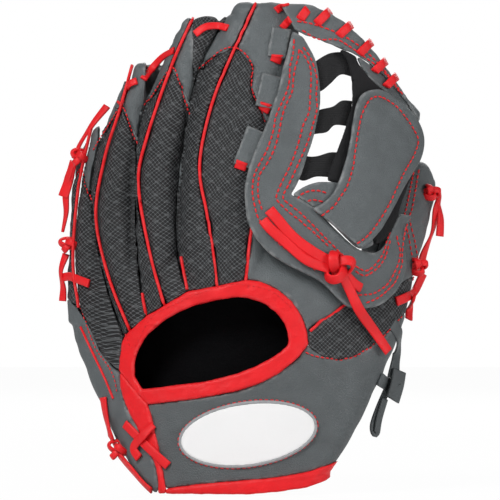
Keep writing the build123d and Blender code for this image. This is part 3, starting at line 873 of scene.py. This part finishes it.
def make_fingers(look):
    """Mesh backs, leather tips and their red seams."""
    backs = [f"{finger}_mesh_back_cover" for finger in FINGERS]
    tips = [f"{finger}_tip_cover" for finger in FINGERS]
    for finger, back, tip in zip(FINGERS, backs, tips):
        lines = [SEAMS[finger], TIP_EDGES[finger]] + [SEAMS[side] for side in FINGER_SIDES[finger]]
        piece = cover(f"{finger}_mesh_back", back, "mesh", ROOT, "mesh", 0.0007, 5, 0.0004, 0.013, lines)
        finger_wrap(piece, finger)
        cover(f"{finger}_tip_cap", tip, "leather", ROOT, "leather", 0.0007, 5, 0.0003, 0.01, lines)
        skin = Skin(back, tip)
        cord, nodes = f"{finger}_piping_cord", [f"{finger}_piping"]
        piping(skin, [SEAMS[finger]], cord, ROOT, 0.25, 6, look.piping_width, sides=10, nodes=nodes)
        sewn(skin, [TIP_EDGES[finger]], f"{finger}_tip_stitching", ROOT, 1.7, 0.6, 0.85, 0.5)
    piping(Skin(*backs, *tips), SHORT_SEAMS, "valley_piping_cord", ROOT, 0.5, 8, sides=10)


BACK_LEATHER = (
    ("hand_back_panel", "leather", ROOT, True),
    ("thumb_back", "leather", THUMB, False),
    ("pinky_heel_panel", "leather", ROOT, False),
    ("wrist_strap", "strap", ROOT, True),
)
PALM_LEATHER = (
    ("palm_fingers", "leather", ROOT, False),
    ("palm_thumb", "leather", THUMB, False),
    ("palm_crease", "leather", ROOT, True),
)

# Short seams and rows of stitches, as (X, Z) in millimetres
THUMB_SEAM = [(32.6, 80.5), (40, 86.8), (50.5, 94)]
THUMB_ROW = [(30, 70), (34.5, 68.2), (44, 66.5), (52, 67.2), (62.5, 72.2), (68.5, 77.2), (79, 88)]
HEEL_SEAM = [(-83, 82), (-76.5, 69), (-70.5, 57), (-66, 46.5)]
HEEL_ROW = [(-87, 92.5), (-83.5, 91.5), (-79.6, 82), (-74.8, 70.8), (-68.5, 62.5), (-65.3, 56), (-64, 49)]
PALM_ROWS = ([(29.5, 8), (29.5, 60), (29.5, 104)], [(27, 8), (27, 60), (27, 104)])


def make_shell(look):
    """Leather of the back, the palm, the lining and the padding."""
    lines = [SEAMS["thumb"], SEAMS["index_leather"], SEAMS["heel"]]
    for name, finish, body, bend in BACK_LEATHER:
        cover(name, f"{name}_cover", finish, body, "leather", 0.0009, 6, 0.0005, 0.022, lines, bend=bend)
    sewn(Skin("thumb_back_cover"), WEB_STITCHES["thumb"], "thumb_stitching", THUMB)
    mesh = cover("thumb_mesh_panel", "thumb_mesh_cover", "mesh", THUMB, "mesh", 0.0008, 5, 0.0004, 0.016)
    cup_wrap(mesh)
    skin = Skin("thumb_mesh_cover", "hand_back_panel_cover", "wrist_strap_cover")
    piping(skin, [THUMB_SEAM], "thumb_piping_cord", THUMB, 0.4, 4)
    sewn(skin, [THUMB_ROW], "thumb_mesh_stitching", THUMB, 1.9, 0.8, 0.8, 0.4)
    skin = Skin("pinky_heel_panel_cover")
    piping(skin, [HEEL_SEAM], "heel_piping_cord", ROOT, 0.2, 4, 0.0012, 0.0013)
    sewn(skin, [HEEL_ROW], "heel_stitching", ROOT, 1.7, 0.7, 0.75, 0.2)
    palm = dict(swell=0.0002, facing=1)
    for name, finish, body, bend in PALM_LEATHER:
        sizes = (0.00105, 5, 0.0006, 0.03, VALLEYS)
        cover(name, f"{name}_cover", finish, body, "leather", *sizes, bend=bend, **palm)
    skin = Skin("palm_fingers_cover", from_palm=True)
    sewn(skin, PALM_ROWS, "palm_stitching", ROOT, 2.4, 1.0, 0.8, 0.2)
    for name, body in (("palm_liner", ROOT), ("thumb_liner", THUMB)):
        cover(name, f"{name}_cover", "lining", body, "lining", 0.0009, 3, 0.0003, 0.02)
    for name, body in (("pinky_heel_pad", ROOT), ("thumb_heel_pad", THUMB)):
        pad = cover(name, f"{name}_cover", "felt", body, "padding", 0.001, 6, 0.0002, 0.01)


BINDINGS = ("opening_binding", "side_binding", "foot_binding")
OPENING_ROW = [
    (-60, 79), (-56, 72), (-47, 87), (-37, 93), (-25, 98.5), (-13, 102.5), (-3, 104), (13, 100.5),
    (24, 91.5),
]


def make_bindings(look):
    """Red bindings round the open back and along the strap, with their stitching."""
    for name in BINDINGS:
        sizes = (0.0007, 9, 0.00018, 0.006)
        cover(name, f"{name}_cover", "red", ROOT, "binding", *sizes, bend=name != "side_binding")
    skin = Skin("opening_binding_cover")
    sewn(skin, [OPENING_ROW], "opening_stitching", ROOT, 1.8, 0.9, 0.5, 0.05, bend=True)


WEB_STITCHES = {
    "leaf": [
        [
            (24.5, 226.5), (24, 219), (22.5, 213), (22, 204.5), (20, 198), (15.5, 188), (14, 180),
            (11, 171), (7, 163.5), (4.5, 158), (3.8, 153), (3.8, 148), (5, 142.5), (6.5, 137),
            (12, 130), (16, 125), (23, 119.5), (30, 115), (35, 111),
        ],
        [
            (27, 221.5), (26.5, 217), (25, 212), (24, 206), (23.5, 200), (20, 192.5), (18, 185.5),
            (17, 180), (14.5, 171), (10, 162.5), (7, 158), (6.5, 148), (8.5, 141),
        ],
        [
            (27.5, 221), (30, 217.5), (32.5, 212.7), (33, 206), (32.5, 198), (32, 190), (29, 183.5),
            (27.5, 177.5), (25.5, 171), (22.5, 163), (18.7, 155.5), (16.5, 150.5), (15.5, 146.5),
            (20, 141.5), (23.5, 138.5), (27, 136), (30, 133.2), (33.5, 130.5), (36.5, 127.5),
            (40, 124.5), (43, 121),
        ],
        [
            (29, 222.5), (32, 218.5), (34.2, 213.5), (36, 206), (35.5, 198), (36, 192), (34, 184),
            (32, 177), (29, 169.5), (25, 160.5), (22, 154), (19, 148.5), (18.7, 146.5), (23.7, 142.5),
            (27.5, 139.5), (30.5, 136.5), (34, 133.2), (37, 130), (41, 126), (44.5, 122.5),
            (47.2, 119.7), (50, 117.5), (54.5, 114),
        ],
        [
            (55, 113), (59.5, 110.5), (62, 111), (64.7, 113.2), (68.5, 118), (70.5, 123), (72, 127.5),
            (74, 131.5),
        ],
        [
            (55, 110.5), (58, 108.5), (60.7, 108.2), (64.5, 110.5), (67.5, 113.2), (70.5, 118),
            (72, 123.5), (73.5, 127.5),
        ],
        [
            (56.5, 98.5), (63.5, 99), (67.5, 101), (71.5, 104), (75, 110), (77, 114.5), (78, 119.5),
            (77.5, 122.5), (76.2, 127), (76.5, 130),
        ],
        [
            (60.5, 94.5), (66.5, 97), (71, 100.5), (75, 104.5), (77, 109), (79, 114.5), (78.8, 118.5),
            (80, 128.5), (82, 135.5),
        ],
    ],
    "crown": [
        [(26, 235.5), (32.5, 234.5), (43.5, 231), (51, 227.5), (60.5, 221), (70, 211.5), (80, 199)],
        [(28.5, 231), (36.7, 226.7), (46, 226.5), (51, 224), (60.5, 217.7), (70, 210.5), (79, 199.5)],
    ],
    "lobe": [
        [(25, 145.5), (28.5, 149), (33, 150.5), (37, 150.5), (42.5, 148.7)],
        [
            (39, 145), (33, 146), (30, 144), (30, 141.5), (34.5, 136.5), (41.5, 129.5), (48.5, 124),
            (54, 119.8),
        ],
    ],
    "flap": [
        [
            (38, 138), (44, 142.5), (47.5, 147.5), (51, 153), (54, 163), (55, 170), (56.5, 180),
            (58.5, 189), (61.5, 195), (64, 197.5), (68, 198), (73, 195.5), (77, 192.5), (81.5, 187),
            (85, 182), (87.5, 176.5), (86, 171), (84, 166.7), (80, 160), (76.5, 153), (72, 143.5),
            (65, 132.5), (60, 127), (55.5, 124),
        ],
    ],
    "thumb": [
        [(86.5, 163.5), (81.5, 142), (80.5, 138.5), (83, 125), (85, 112), (84.5, 103)],
        [(88.5, 162), (84.5, 142), (83, 137), (86, 124), (88, 112)],
    ],
}


# CAD node, piece, finish, body, whether it is baked in place instead of attached to its body, its rows of
# stitches, and its sizes for worked
WEB_PARTS = (
    ("web_index_panel", "web_leaf_cover", "leather", ROOT, True, "leaf", (0.0007, 6, 0.0004, 0.02)),
    ("web_crown_bar", "crown_bar_cover", "leather", ROOT, True, "crown", (0.0006, 6, 0.0004, 0.012)),
    ("web_facing", "web_facing_cover", "strap", ROOT, True, None, (0.0005, 3, 0.0001, 0.01)),
    ("web_base_lobe", "web_lobe_cover", "leather", THUMB, False, "lobe", (0.0006, 5, 0.0003, 0.015)),
    ("web_loop_pad", "web_loop_cover", "loop", THUMB, False, None, (0.0006, 4, 0.0003, 0.012)),
    ("web_flap", "web_flap_cover", "leather", FLAP, False, "flap",
     (0.0006, 9, 0.0003, 0.02, [WEB_STITCHES["flap"][0]], 0.00045, 0.0011)),
)


def make_web(look):
    """Split web: leaf, crown bar, lobe, flap, bands and black pad."""
    for node, name, finish, body, bend, _, sizes in WEB_PARTS:
        slot = "loop" if finish == "loop" else "leather"
        cover(node, name, finish, body, slot, *sizes, bend=bend)
    for _, name, _, body, bend, rows, _ in WEB_PARTS:
        if rows:
            sewn(Skin(name), WEB_STITCHES[rows], f"web_{rows}_stitching", body, bend=bend)
    make_bands()


BANDS = (
    (
        [(33, 214), (38, 217.5), (43, 220), (49, 220.5), (54, 219)],
        [(33, 200), (38, 200.5), (43, 204.5), (48, 209), (54, 208)],
    ),
    (
        [(33, 189.5), (38, 191.5), (44, 193), (48.5, 196), (54, 196)],
        [(31, 178), (35.5, 179), (41, 180), (45, 183.5), (52, 183)],
    ),
    (
        [(26, 170.5), (31, 168), (36, 168), (43, 170), (50, 169.5)],
        [(24, 158), (29, 155.5), (35, 157.5), (40, 157.5), (45, 157)],
    ),
)


def make_bands():
    """Three ruffled elastic bands across the web."""
    points, faces = [], []
    across, down, thick = 30, 10, 0.9
    for top, bottom in BANDS:
        upper, lower = smooth_line(top, 0.1), smooth_line(bottom, 0.1)
        base = len(points)
        for level in (0, 1):
            for i in range(across + 1):
                a = upper[int(i / across * (len(upper) - 1))]
                b = lower[int(i / across * (len(lower) - 1))]
                for j in range(down + 1):
                    x, z = a * (1 - j / down) + b * (j / down)
                    ripple = 0.45 * math.sin(i / across * 12.5) * (0.6 + 0.4 * math.cos(j * 0.9))
                    points.append(layer_point(x, z, 0.85 + ripple + (level - 0.5) * thick))
        row = down + 1
        size = (across + 1) * row
        for i in range(across):
            for j in range(down):
                a = base + i * row + j
                faces.append((a, a + 1, a + row + 1, a + row))
                b = a + size
                faces.append((b, b + row, b + row + 1, b + 1))
        rim = [base + j for j in range(row)] + [base + i * row + down for i in range(1, across + 1)]
        rim += [base + across * row + j for j in range(down - 1, -1, -1)]
        rim += [base + i * row for i in range(across - 1, 0, -1)]
        for a, b in zip(rim, rim[1:] + rim[:1]):
            faces.append((a, a + size, b + size, b))
    piece = new_piece("elastic_bands_cover", points, faces)
    face_outward(piece)
    apply_modifier(piece, "SUBSURF", levels=1, render_levels=1)
    ends = (Vector((0.036, 0, 0.18)), Vector((0.049, 0, 0.18)))
    dress(piece, MATERIALS["elastic"], THUMB, ["web_elastic_bands"], ends)


# Oval patch on the strap: centre, half axes in millimetres, and lean
PATCH_X, PATCH_Z = 1.5, 29.5
PATCH_HALVES = (34.0, 15.5)
PATCH_LEAN = math.radians(8)


def oval(wider=1.0, taller=1.0):
    """Closed outline of the patch as (X, Z), stretched about its centre."""
    c, s = math.cos(PATCH_LEAN), math.sin(PATCH_LEAN)
    line = []
    for i in range(97):
        t = 2 * math.pi * i / 96
        u, v = PATCH_HALVES[0] * math.cos(t), PATCH_HALVES[1] * math.sin(t)
        line.append((PATCH_X + (u * c - v * s) * wider, PATCH_Z + (u * s + v * c) * taller))
    return line


def make_patch(look):
    """Blank oval patch with its rim and stitching, and the belt loops on the index finger."""
    sizes = (0.0006, 3, 0.0001, 0.02)
    cover("strap_patch", "strap_patch_cover", "patch", ROOT, "patch", *sizes, bend=True)
    skin = Skin("strap_patch_cover", "wrist_strap_cover")
    ups = [skin.drop(x, z)[1] for x, z in oval(0.965, 0.94)]
    run = [(layer_point(x, z, -1.2), up) for (x, z), up in zip(oval(), ups)]
    rim = swept([run], "patch_rim_cord", 0.0017, 0.0015, power=2.4, sides=10)
    store_wear_and_shade(rim)
    dress(rim, MATERIALS["rim"], ROOT, ["patch_rim"], folded(True))
    sewn(skin, [oval(1.03, 1.06)], "patch_stitching", ROOT, 1.7, 1.0, 0.75, 0.3, bend=True)
    sizes = (0.0005, 5, 0.0002, 0.008)
    cover("index_belt_loops", "index_belt_cover", "leather", ROOT, "leather", *sizes)


# Depth at which the glove is looked for beside a lace that hangs past its edge
HANG_Y = 0.045


def lace_run(skin, points):
    """Run of a lace through (X, Z, lift) places in millimetres, laid on the glove or hung beside it."""
    places, ups = [], []
    for x, z, lift in points:
        got = skin.drop(x, z)
        if got is None:
            near = skin.tree.find_nearest(Vector((x * MM, HANG_Y, z * MM)))[0]
            away = Vector((x * MM - near.x, 0, 0))
            point = Vector((x * MM, near.y, z * MM))
            up = (away.normalized() + Vector((0, -1.3, 0))).normalized()
        else:
            point, up = got[0] + got[1] * lift * MM, got[1]
        places.append(point / MM)
        ups.append(up)
    line = smooth_line(places, 0.8)
    turns = smooth_line([tuple(u) for u in ups], 0.01)
    run = []
    for i, p in enumerate(line):
        u = turns[int(i / max(len(line) - 1, 1) * (len(turns) - 1))]
        run.append((Vector(p) * MM, Vector(u).normalized()))
    return eased(run, 3)


def whole_skin():
    """Surface of all the covers made so far."""
    return Skin(*(o.name for o in bpy.data.objects if o.name.endswith("_cover")))


# Body, CAD nodes, whether it is baked in place instead of attached to its body, width, and places (X, Z,
# lift), in millimetres
LACES = {
    "pinky_side": (ROOT, ("pinky_side_lace",), False, 4.4, [
        [(-70, 194, 1.0), (-76, 184, 1.6), (-82, 174, 2.0), (-85.5, 167, 1.5)],
        [(-86, 165, 1.5), (-90.5, 156, 2.0), (-91.2, 148, 1.5), (-91, 140, 1.5), (-90.8, 130, 2.0)],
        [(-91, 119, 2.0), (-91.8, 110, 2.0), (-92.5, 102, 2.0), (-92.8, 95, 2.5)],
        [(-92, 107, 1.5), (-88, 107.5, 1.5), (-84.5, 106.5, 1.2), (-78, 104, 1.0)],
    ]),
    "pinky_tab": (ROOT, (), False, 6.5, [
        [(-86.5, 165, 1.0), (-89.5, 157, 2.2), (-92.5, 148, 2.6)],
    ]),
    "heel_side": (ROOT, ("heel_lace",), False, 5.2, [
        [(-70.5, 47, 1.0), (-69, 38, 1.0), (-66, 27, 1.2), (-65, 22, 1.0)],
        [(-62, 19, 1.4), (-56, 12, 1.2), (-50, 5, 1.0), (-46, 1.5, 1.0)],
    ]),
    "strap_cross": (ROOT, ("strap_lace",), False, 4.6, [
        [(-59.5, 34, 0.9), (-53, 27.5, 1.4), (-46, 21, 1.2), (-38, 13.5, 0.9)],
        [(-45, 34, 0.9), (-50, 28, 2.4), (-55, 22, 1.2), (-52, 17, 1.6)],
    ]),
    "thumb_side": (THUMB, ("thumb_side_lace",), False, 4.8, [
        [(98, 149, 1.5), (97.5, 142, 1.5), (94, 131, 1.5), (90.5, 118, 1.5), (90, 113, 1.5)],
        [(97, 146, 1.5), (99.5, 138, 2.0), (99, 128, 2.5)],
        [(90.5, 109, 1.5), (86, 100, 1.5), (80, 97, 1.5), (75.5, 95, 1.0)],
        [(84, 97, 1.5), (83.5, 92, 1.8), (83, 86, 2.0)],
    ]),
    "fingertips": (ROOT, ("fingertip_laces",), False, 3.8, [
        [(-51, 207, 0.6), (-46, 213, 1.8), (-40, 217.5, 1.8), (-35.5, 221, 0.6)],
        [(-25, 229, 0.6), (-20, 232, 1.6), (-14, 233, 1.6), (-8.5, 232, 0.6)],
        [(-63, 195, 0.6), (-60, 200, 1.6), (-57, 204, 1.6), (-54, 206, 0.6)],
    ]),
    "belt": (ROOT, (), False, 6.0, [
        [(16.2, 218.6, 0.2), (15.6, 216.6, 0.7), (15, 214.8, 0.2)],
        [(10.6, 194.2, 0.2), (9.8, 192, 0.7), (9, 190.4, 0.2)],
        [(-1.4, 165, 0.2), (-2, 163, 0.7), (-2.6, 161.2, 0.2)],
    ]),
    "belt_top": (ROOT, (), False, 3.8, [
        [(20.5, 243.5, 0.5), (18, 242.5, 1.0), (15.5, 241, 0.3)],
        [(22.5, 236.5, 0.2), (20.5, 234.5, 1.0), (18.5, 232, 0.3)],
    ]),
}


# Place to start from, size, outward and lengthwise directions, and body
KNOTS = (
    ("pinky_upper_knot", (-83.5, 36, 168), (8, 9, 4), (-0.7, -0.7, 0), (0.3, 0, 1), ROOT),
    ("pinky_lower_knot", (-91, 40, 124), (7, 12, 4), (-0.8, -0.6, 0), (0, 0, 1), ROOT),
    ("heel_knot", (-65.5, 6, 19), (9, 11, 5), (-0.8, -0.6, 0), (0.2, 0, 1), ROOT),
    ("thumb_upper_knot", (97.5, 44, 151), (7, 10, 4), (0.7, -0.7, 0), (0.2, 0, 1), THUMB),
    ("thumb_lower_knot", (89.5, 30, 112), (8, 9, 5), (0.7, -0.7, 0), (0, 0, 1), THUMB),
)
# Heel tie: places of each strand, and width, thickness, power and CAD nodes of each piece
TIE_UPPER = [(74, 84, 0.2), (77, 78, 0.8), (77, 70, 1.2), (75.8, 62, 1.2), (74.5, 56, 1.2)]
TIE_LINK = [(77, 51, 1.0), (71.5, 53.5, 1.2), (67, 56.5, 1.0)]
TIE_TAIL = [
    (71.5, 50, 1.5), (67.5, 41, 2.0), (64.5, 32, 2.2), (66, 28, 2.4), (67.5, 36, 2.6), (70.5, 46, 2.0),
]
TIE_TAB = [(78, 60, 1.0), (76.8, 53, 1.2), (74.5, 45.5, 1.2)]
TIES = (
    ("heel_tie_strip", (TIE_UPPER, TIE_LINK), 0.0068, 0.0014, 3.6, ("heel_tie",)),
    ("heel_tie_tail", (TIE_TAIL,), 0.0042, 0.0014, 3.2, ()),
    ("heel_tie_tab", (TIE_TAB,), 0.009, 0.0015, 4.0, ()),
)


def make_laces(look):
    """Laces, knots and the web's tie."""
    skin = whole_skin()
    red = MATERIALS["lace"]
    for name, (body, nodes, bend, width, lines) in LACES.items():
        runs = [lace_run(skin, line) for line in lines]
        piece = swept(runs, f"{name}_lacing", width * MM, 0.0015, power=3.4)
        dress(piece, red, body, nodes, folded(bend))
    for name, centre, size, normal, along, body in KNOTS:
        near = skin.tree.find_nearest(Vector([v * MM for v in centre]))[0]
        place = near / MM + Vector(normal).normalized() * (size[2] / 2 + 0.4)
        dress(knotted(name, place, size, normal, along, 3.4, 1.5), red, body)
    make_crown_laces(red)
    make_web_tie(skin, red)
    for name, lines, width, thickness, power, nodes in TIES:
        piece = swept([lace_run(skin, line) for line in lines], name, width, thickness, power)
        dress(piece, MATERIALS["tie"], ROOT, nodes)


CROWN_WRAPS = (
    ((27.5, 236.5), (32, 242.5)),
    ((36, 234.5), (42.5, 241)),
    ((47, 228.5), (53.3, 234.4)),
    ((57.5, 219.5), (63.6, 225.8)),
    ((65.4, 211), (71, 216.4)),
    ((71.2, 203.5), (76.6, 208.8)),
)


# Depth of a wrap over the bar, and how far its upper and lower ends dive from there, in millimetres
WRAP_OVER, WRAP_TOP, WRAP_FOOT = -5.9, 7.5, 1.6


def make_crown_laces(red):
    """Lace wrapped round the crown bar in six turns."""
    runs = []
    for low, high in CROWN_WRAPS:
        run = []
        for t in (i / 30 for i in range(31)):
            over = 1.02 * t
            x = low[0] + (high[0] - low[0]) * over
            z = low[1] + (high[1] - low[1]) * over
            dive = WRAP_TOP * max(0.0, 2 * t - 1) ** 4
            depth = WRAP_OVER + dive + WRAP_FOOT * max(0.0, 1 - 2 * t) ** 6
            here = layer_point(x, z, depth)
            centre = Vector((CUP_X, back_y(z) + CUP_RADIUS, z)) * MM
            up = (here - centre).normalized()
            lean = Vector((high[0] - low[0], 0, high[1] - low[1])).normalized() * (2 * t - 1) ** 3
            run.append((here, (up + lean * 1.3).normalized()))
        runs.append(run)
    piece = swept(runs, "crown_lacing", 0.0046, 0.0014, power=3.4)
    dress(piece, red, ROOT, ["crown_lace"], folded(True))


# Strands of the web's tie: places (X, Z, lift) and width
TIE_STRANDS = (
    ([(12, 141, 0.4), (16, 136, 1.2), (24, 127, 1.3), (34, 119.5, 1.6), (42, 115, 2.2)], 5.6),
    ([(9, 136, 0.4), (12.5, 131.5, 1.4), (20, 124.5, 1.8), (30, 116, 2.0), (41, 111.5, 2.4)], 5.2),
    ([(47, 110, 3.0), (50, 107.5, 2.4), (54, 104, 1.6), (57.5, 102, 0.8)], 5.0),
    ([(47, 109, 3.2), (51, 101, 2.6), (56, 92, 3.2), (63, 80, 3.6), (69, 70, 4.0)], 5.5),
)


def make_web_tie(skin, red):
    """Tie at the base of the web: two strands, their knot and two tails."""
    for number, (line, width) in enumerate(TIE_STRANDS, 1):
        name = f"web_tie_strand_{number}"
        piece = swept([lace_run(skin, line)], name, width * MM, 0.0016, power=3.4)
        dress(piece, red, ROOT, ["web_tie_lace"], folded(True))
    point, up = skin.drop(45.5, 112.5)
    place = point / MM + up * 3.6
    knot = knotted("web_tie_knot_lace", place, (14, 16, 6), up, (0.8, 0, -0.6), 5.2, 1.7)
    dress(knot, red, ROOT, ["web_tie_knot"], folded(True))


# Stage


# Soft lamps: place, size and share of the main lamp's power
LAMPS = (
    ("key_softbox", (-0.9, -1.5, 1.5), 0.9, 1.0),
    ("side_softbox", (1.5, -0.9, 0.6), 0.8, 0.3),
    ("back_softbox", (0.2, 1.6, 1.0), 1.2, 0.4),
)
LAMP_AIM = Vector((0.0, 0.01, 0.12))
CAMERA_PLACE = (0.0025, -2.78, 0.121)
FLOOR_DEPTH = -0.0008


def make_floor():
    """Plain pale floor, almost white to the camera."""
    bpy.ops.mesh.primitive_plane_add(size=6.0, location=(0, 0, FLOOR_DEPTH))
    floor = bpy.context.active_object
    floor.name = "pale_floor"
    material, tree, shader = new_material("Pale floor")
    shader.inputs["Base Color"].default_value = (0.86, 0.86, 0.86, 1)
    shader.inputs["Roughness"].default_value = 0.9
    rays = node(tree, "ShaderNodeLightPath")
    mixed = node(tree, "ShaderNodeMixShader")
    seen = maths(tree, "MULTIPLY", rays.outputs["Is Camera Ray"], 0.97)
    glow = node(tree, "ShaderNodeEmission")
    for index, socket in enumerate((seen, shader.outputs[0], glow.outputs[0])):
        tree.links.new(socket, mixed.inputs[index])
    tree.links.new(mixed.outputs[0], tree.nodes["Material Output"].inputs["Surface"])
    floor.data.materials.append(material)


def make_world(ambient):
    """White behind the glove, and weaker light from all round."""
    world = bpy.data.worlds.new("Studio")
    world.use_nodes = True
    bpy.context.scene.world = world
    tree = world.node_tree
    back = tree.nodes["Background"]
    back.inputs["Color"].default_value = (1, 1, 1, 1)
    rays = node(tree, "ShaderNodeLightPath").outputs
    shown = maths(tree, "ADD", rays["Is Camera Ray"], rays["Is Transmission Ray"], True)
    strength = maths(tree, "ADD", maths(tree, "MULTIPLY", shown, 1 - ambient), ambient)
    tree.links.new(strength, back.inputs["Strength"])


def make_stage(look):
    """Plain pale floor, soft light and the camera."""
    make_floor()
    make_world(look.ambient)
    for name, place, size, share in LAMPS:
        bpy.ops.object.light_add(type="AREA", location=place)
        lamp = bpy.context.active_object
        lamp.name = name
        lamp.data.size = size
        lamp.data.energy = look.key_power * share
        lamp.rotation_euler = (LAMP_AIM - Vector(place)).to_track_quat("-Z", "Y").to_euler()
    bpy.ops.object.camera_add(location=CAMERA_PLACE, rotation=(math.pi / 2, 0, 0))
    camera = bpy.context.active_object
    camera.data.lens = 400.0
    camera.data.sensor_width = 36.0
    camera.data.clip_end = 50.0
    bpy.context.scene.camera = camera
    bpy.context.scene.view_settings.view_transform = "Standard"


class GloveLook(bpy.types.PropertyGroup):
    """Sizes and colours of the glove."""

    leather_colour: FloatVectorProperty(
        name="Leather",
        description="Colour of the grained leather",
        subtype="COLOR",
        default=(0.1, 0.113, 0.118),
    )
    trim_colour: FloatVectorProperty(
        name="Trim",
        description="Colour of bindings and laces",
        subtype="COLOR",
        default=(0.76, 0.008, 0.013),
    )
    piping_width: FloatProperty(
        name="Piping width", description="Width of the red seams", default=0.0014, unit="LENGTH"
    )
    key_power: FloatProperty(
        name="Key light", description="Power of the main lamp", default=38.0, unit="POWER"
    )
    ambient: FloatProperty(
        name="Ambient", description="Strength of the light from all round", default=0.2
    )


STEPS = (
    ("materials", "Materials", "Build the glove's finishes", make_materials),
    ("fingers", "Fingers", "Make the mesh backs, leather tips and seams", make_fingers),
    ("shell", "Shell", "Make the back, palm, lining and padding", make_shell),
    ("bindings", "Bindings", "Make the red bindings", make_bindings),
    ("web", "Web", "Make the split web", make_web),
    ("patch", "Patch", "Make the oval patch and the belt loops", make_patch),
    ("laces", "Laces", "Make the laces and knots", make_laces),
    ("stage", "Stage", "Make the floor, lights and camera", make_stage),
)


def step_operator(key, label, doc, work):
    """Operator that runs one step."""

    def execute(self, context):
        work(context.scene.glove_look)
        return {"FINISHED"}

    return type(
        f"GLOVE_OT_{key}",
        (bpy.types.Operator,),
        {"__doc__": doc, "bl_idname": f"glove.{key}", "bl_label": label, "execute": execute},
    )


OPERATORS = [step_operator(*step) for step in STEPS]


class GLOVE_PT_panel(bpy.types.Panel):
    """Lists the glove's steps."""

    bl_label = "Fielder's glove"
    bl_idname = "GLOVE_PT_panel"
    bl_space_type = "VIEW_3D"
    bl_region_type = "UI"
    bl_category = "Glove"

    def draw(self, context):
        for key in GloveLook.__annotations__:
            self.layout.prop(context.scene.glove_look, key)
        for operator in OPERATORS:
            self.layout.operator(operator.bl_idname)


CLASSES = [GloveLook, *OPERATORS, GLOVE_PT_panel]


def register():
    """Register the classes and the scene's settings."""
    for one in CLASSES:
        bpy.utils.register_class(one)
    bpy.types.Scene.glove_look = PointerProperty(type=GloveLook)


def unregister():
    """Take the classes away again."""
    del bpy.types.Scene.glove_look
    for one in reversed(CLASSES):
        bpy.utils.unregister_class(one)


def main():
    """Make the glove and write its size."""
    register()
    for key, *_ in STEPS:
        getattr(bpy.ops.glove, key)()


if __name__ == "__main__":
    main()
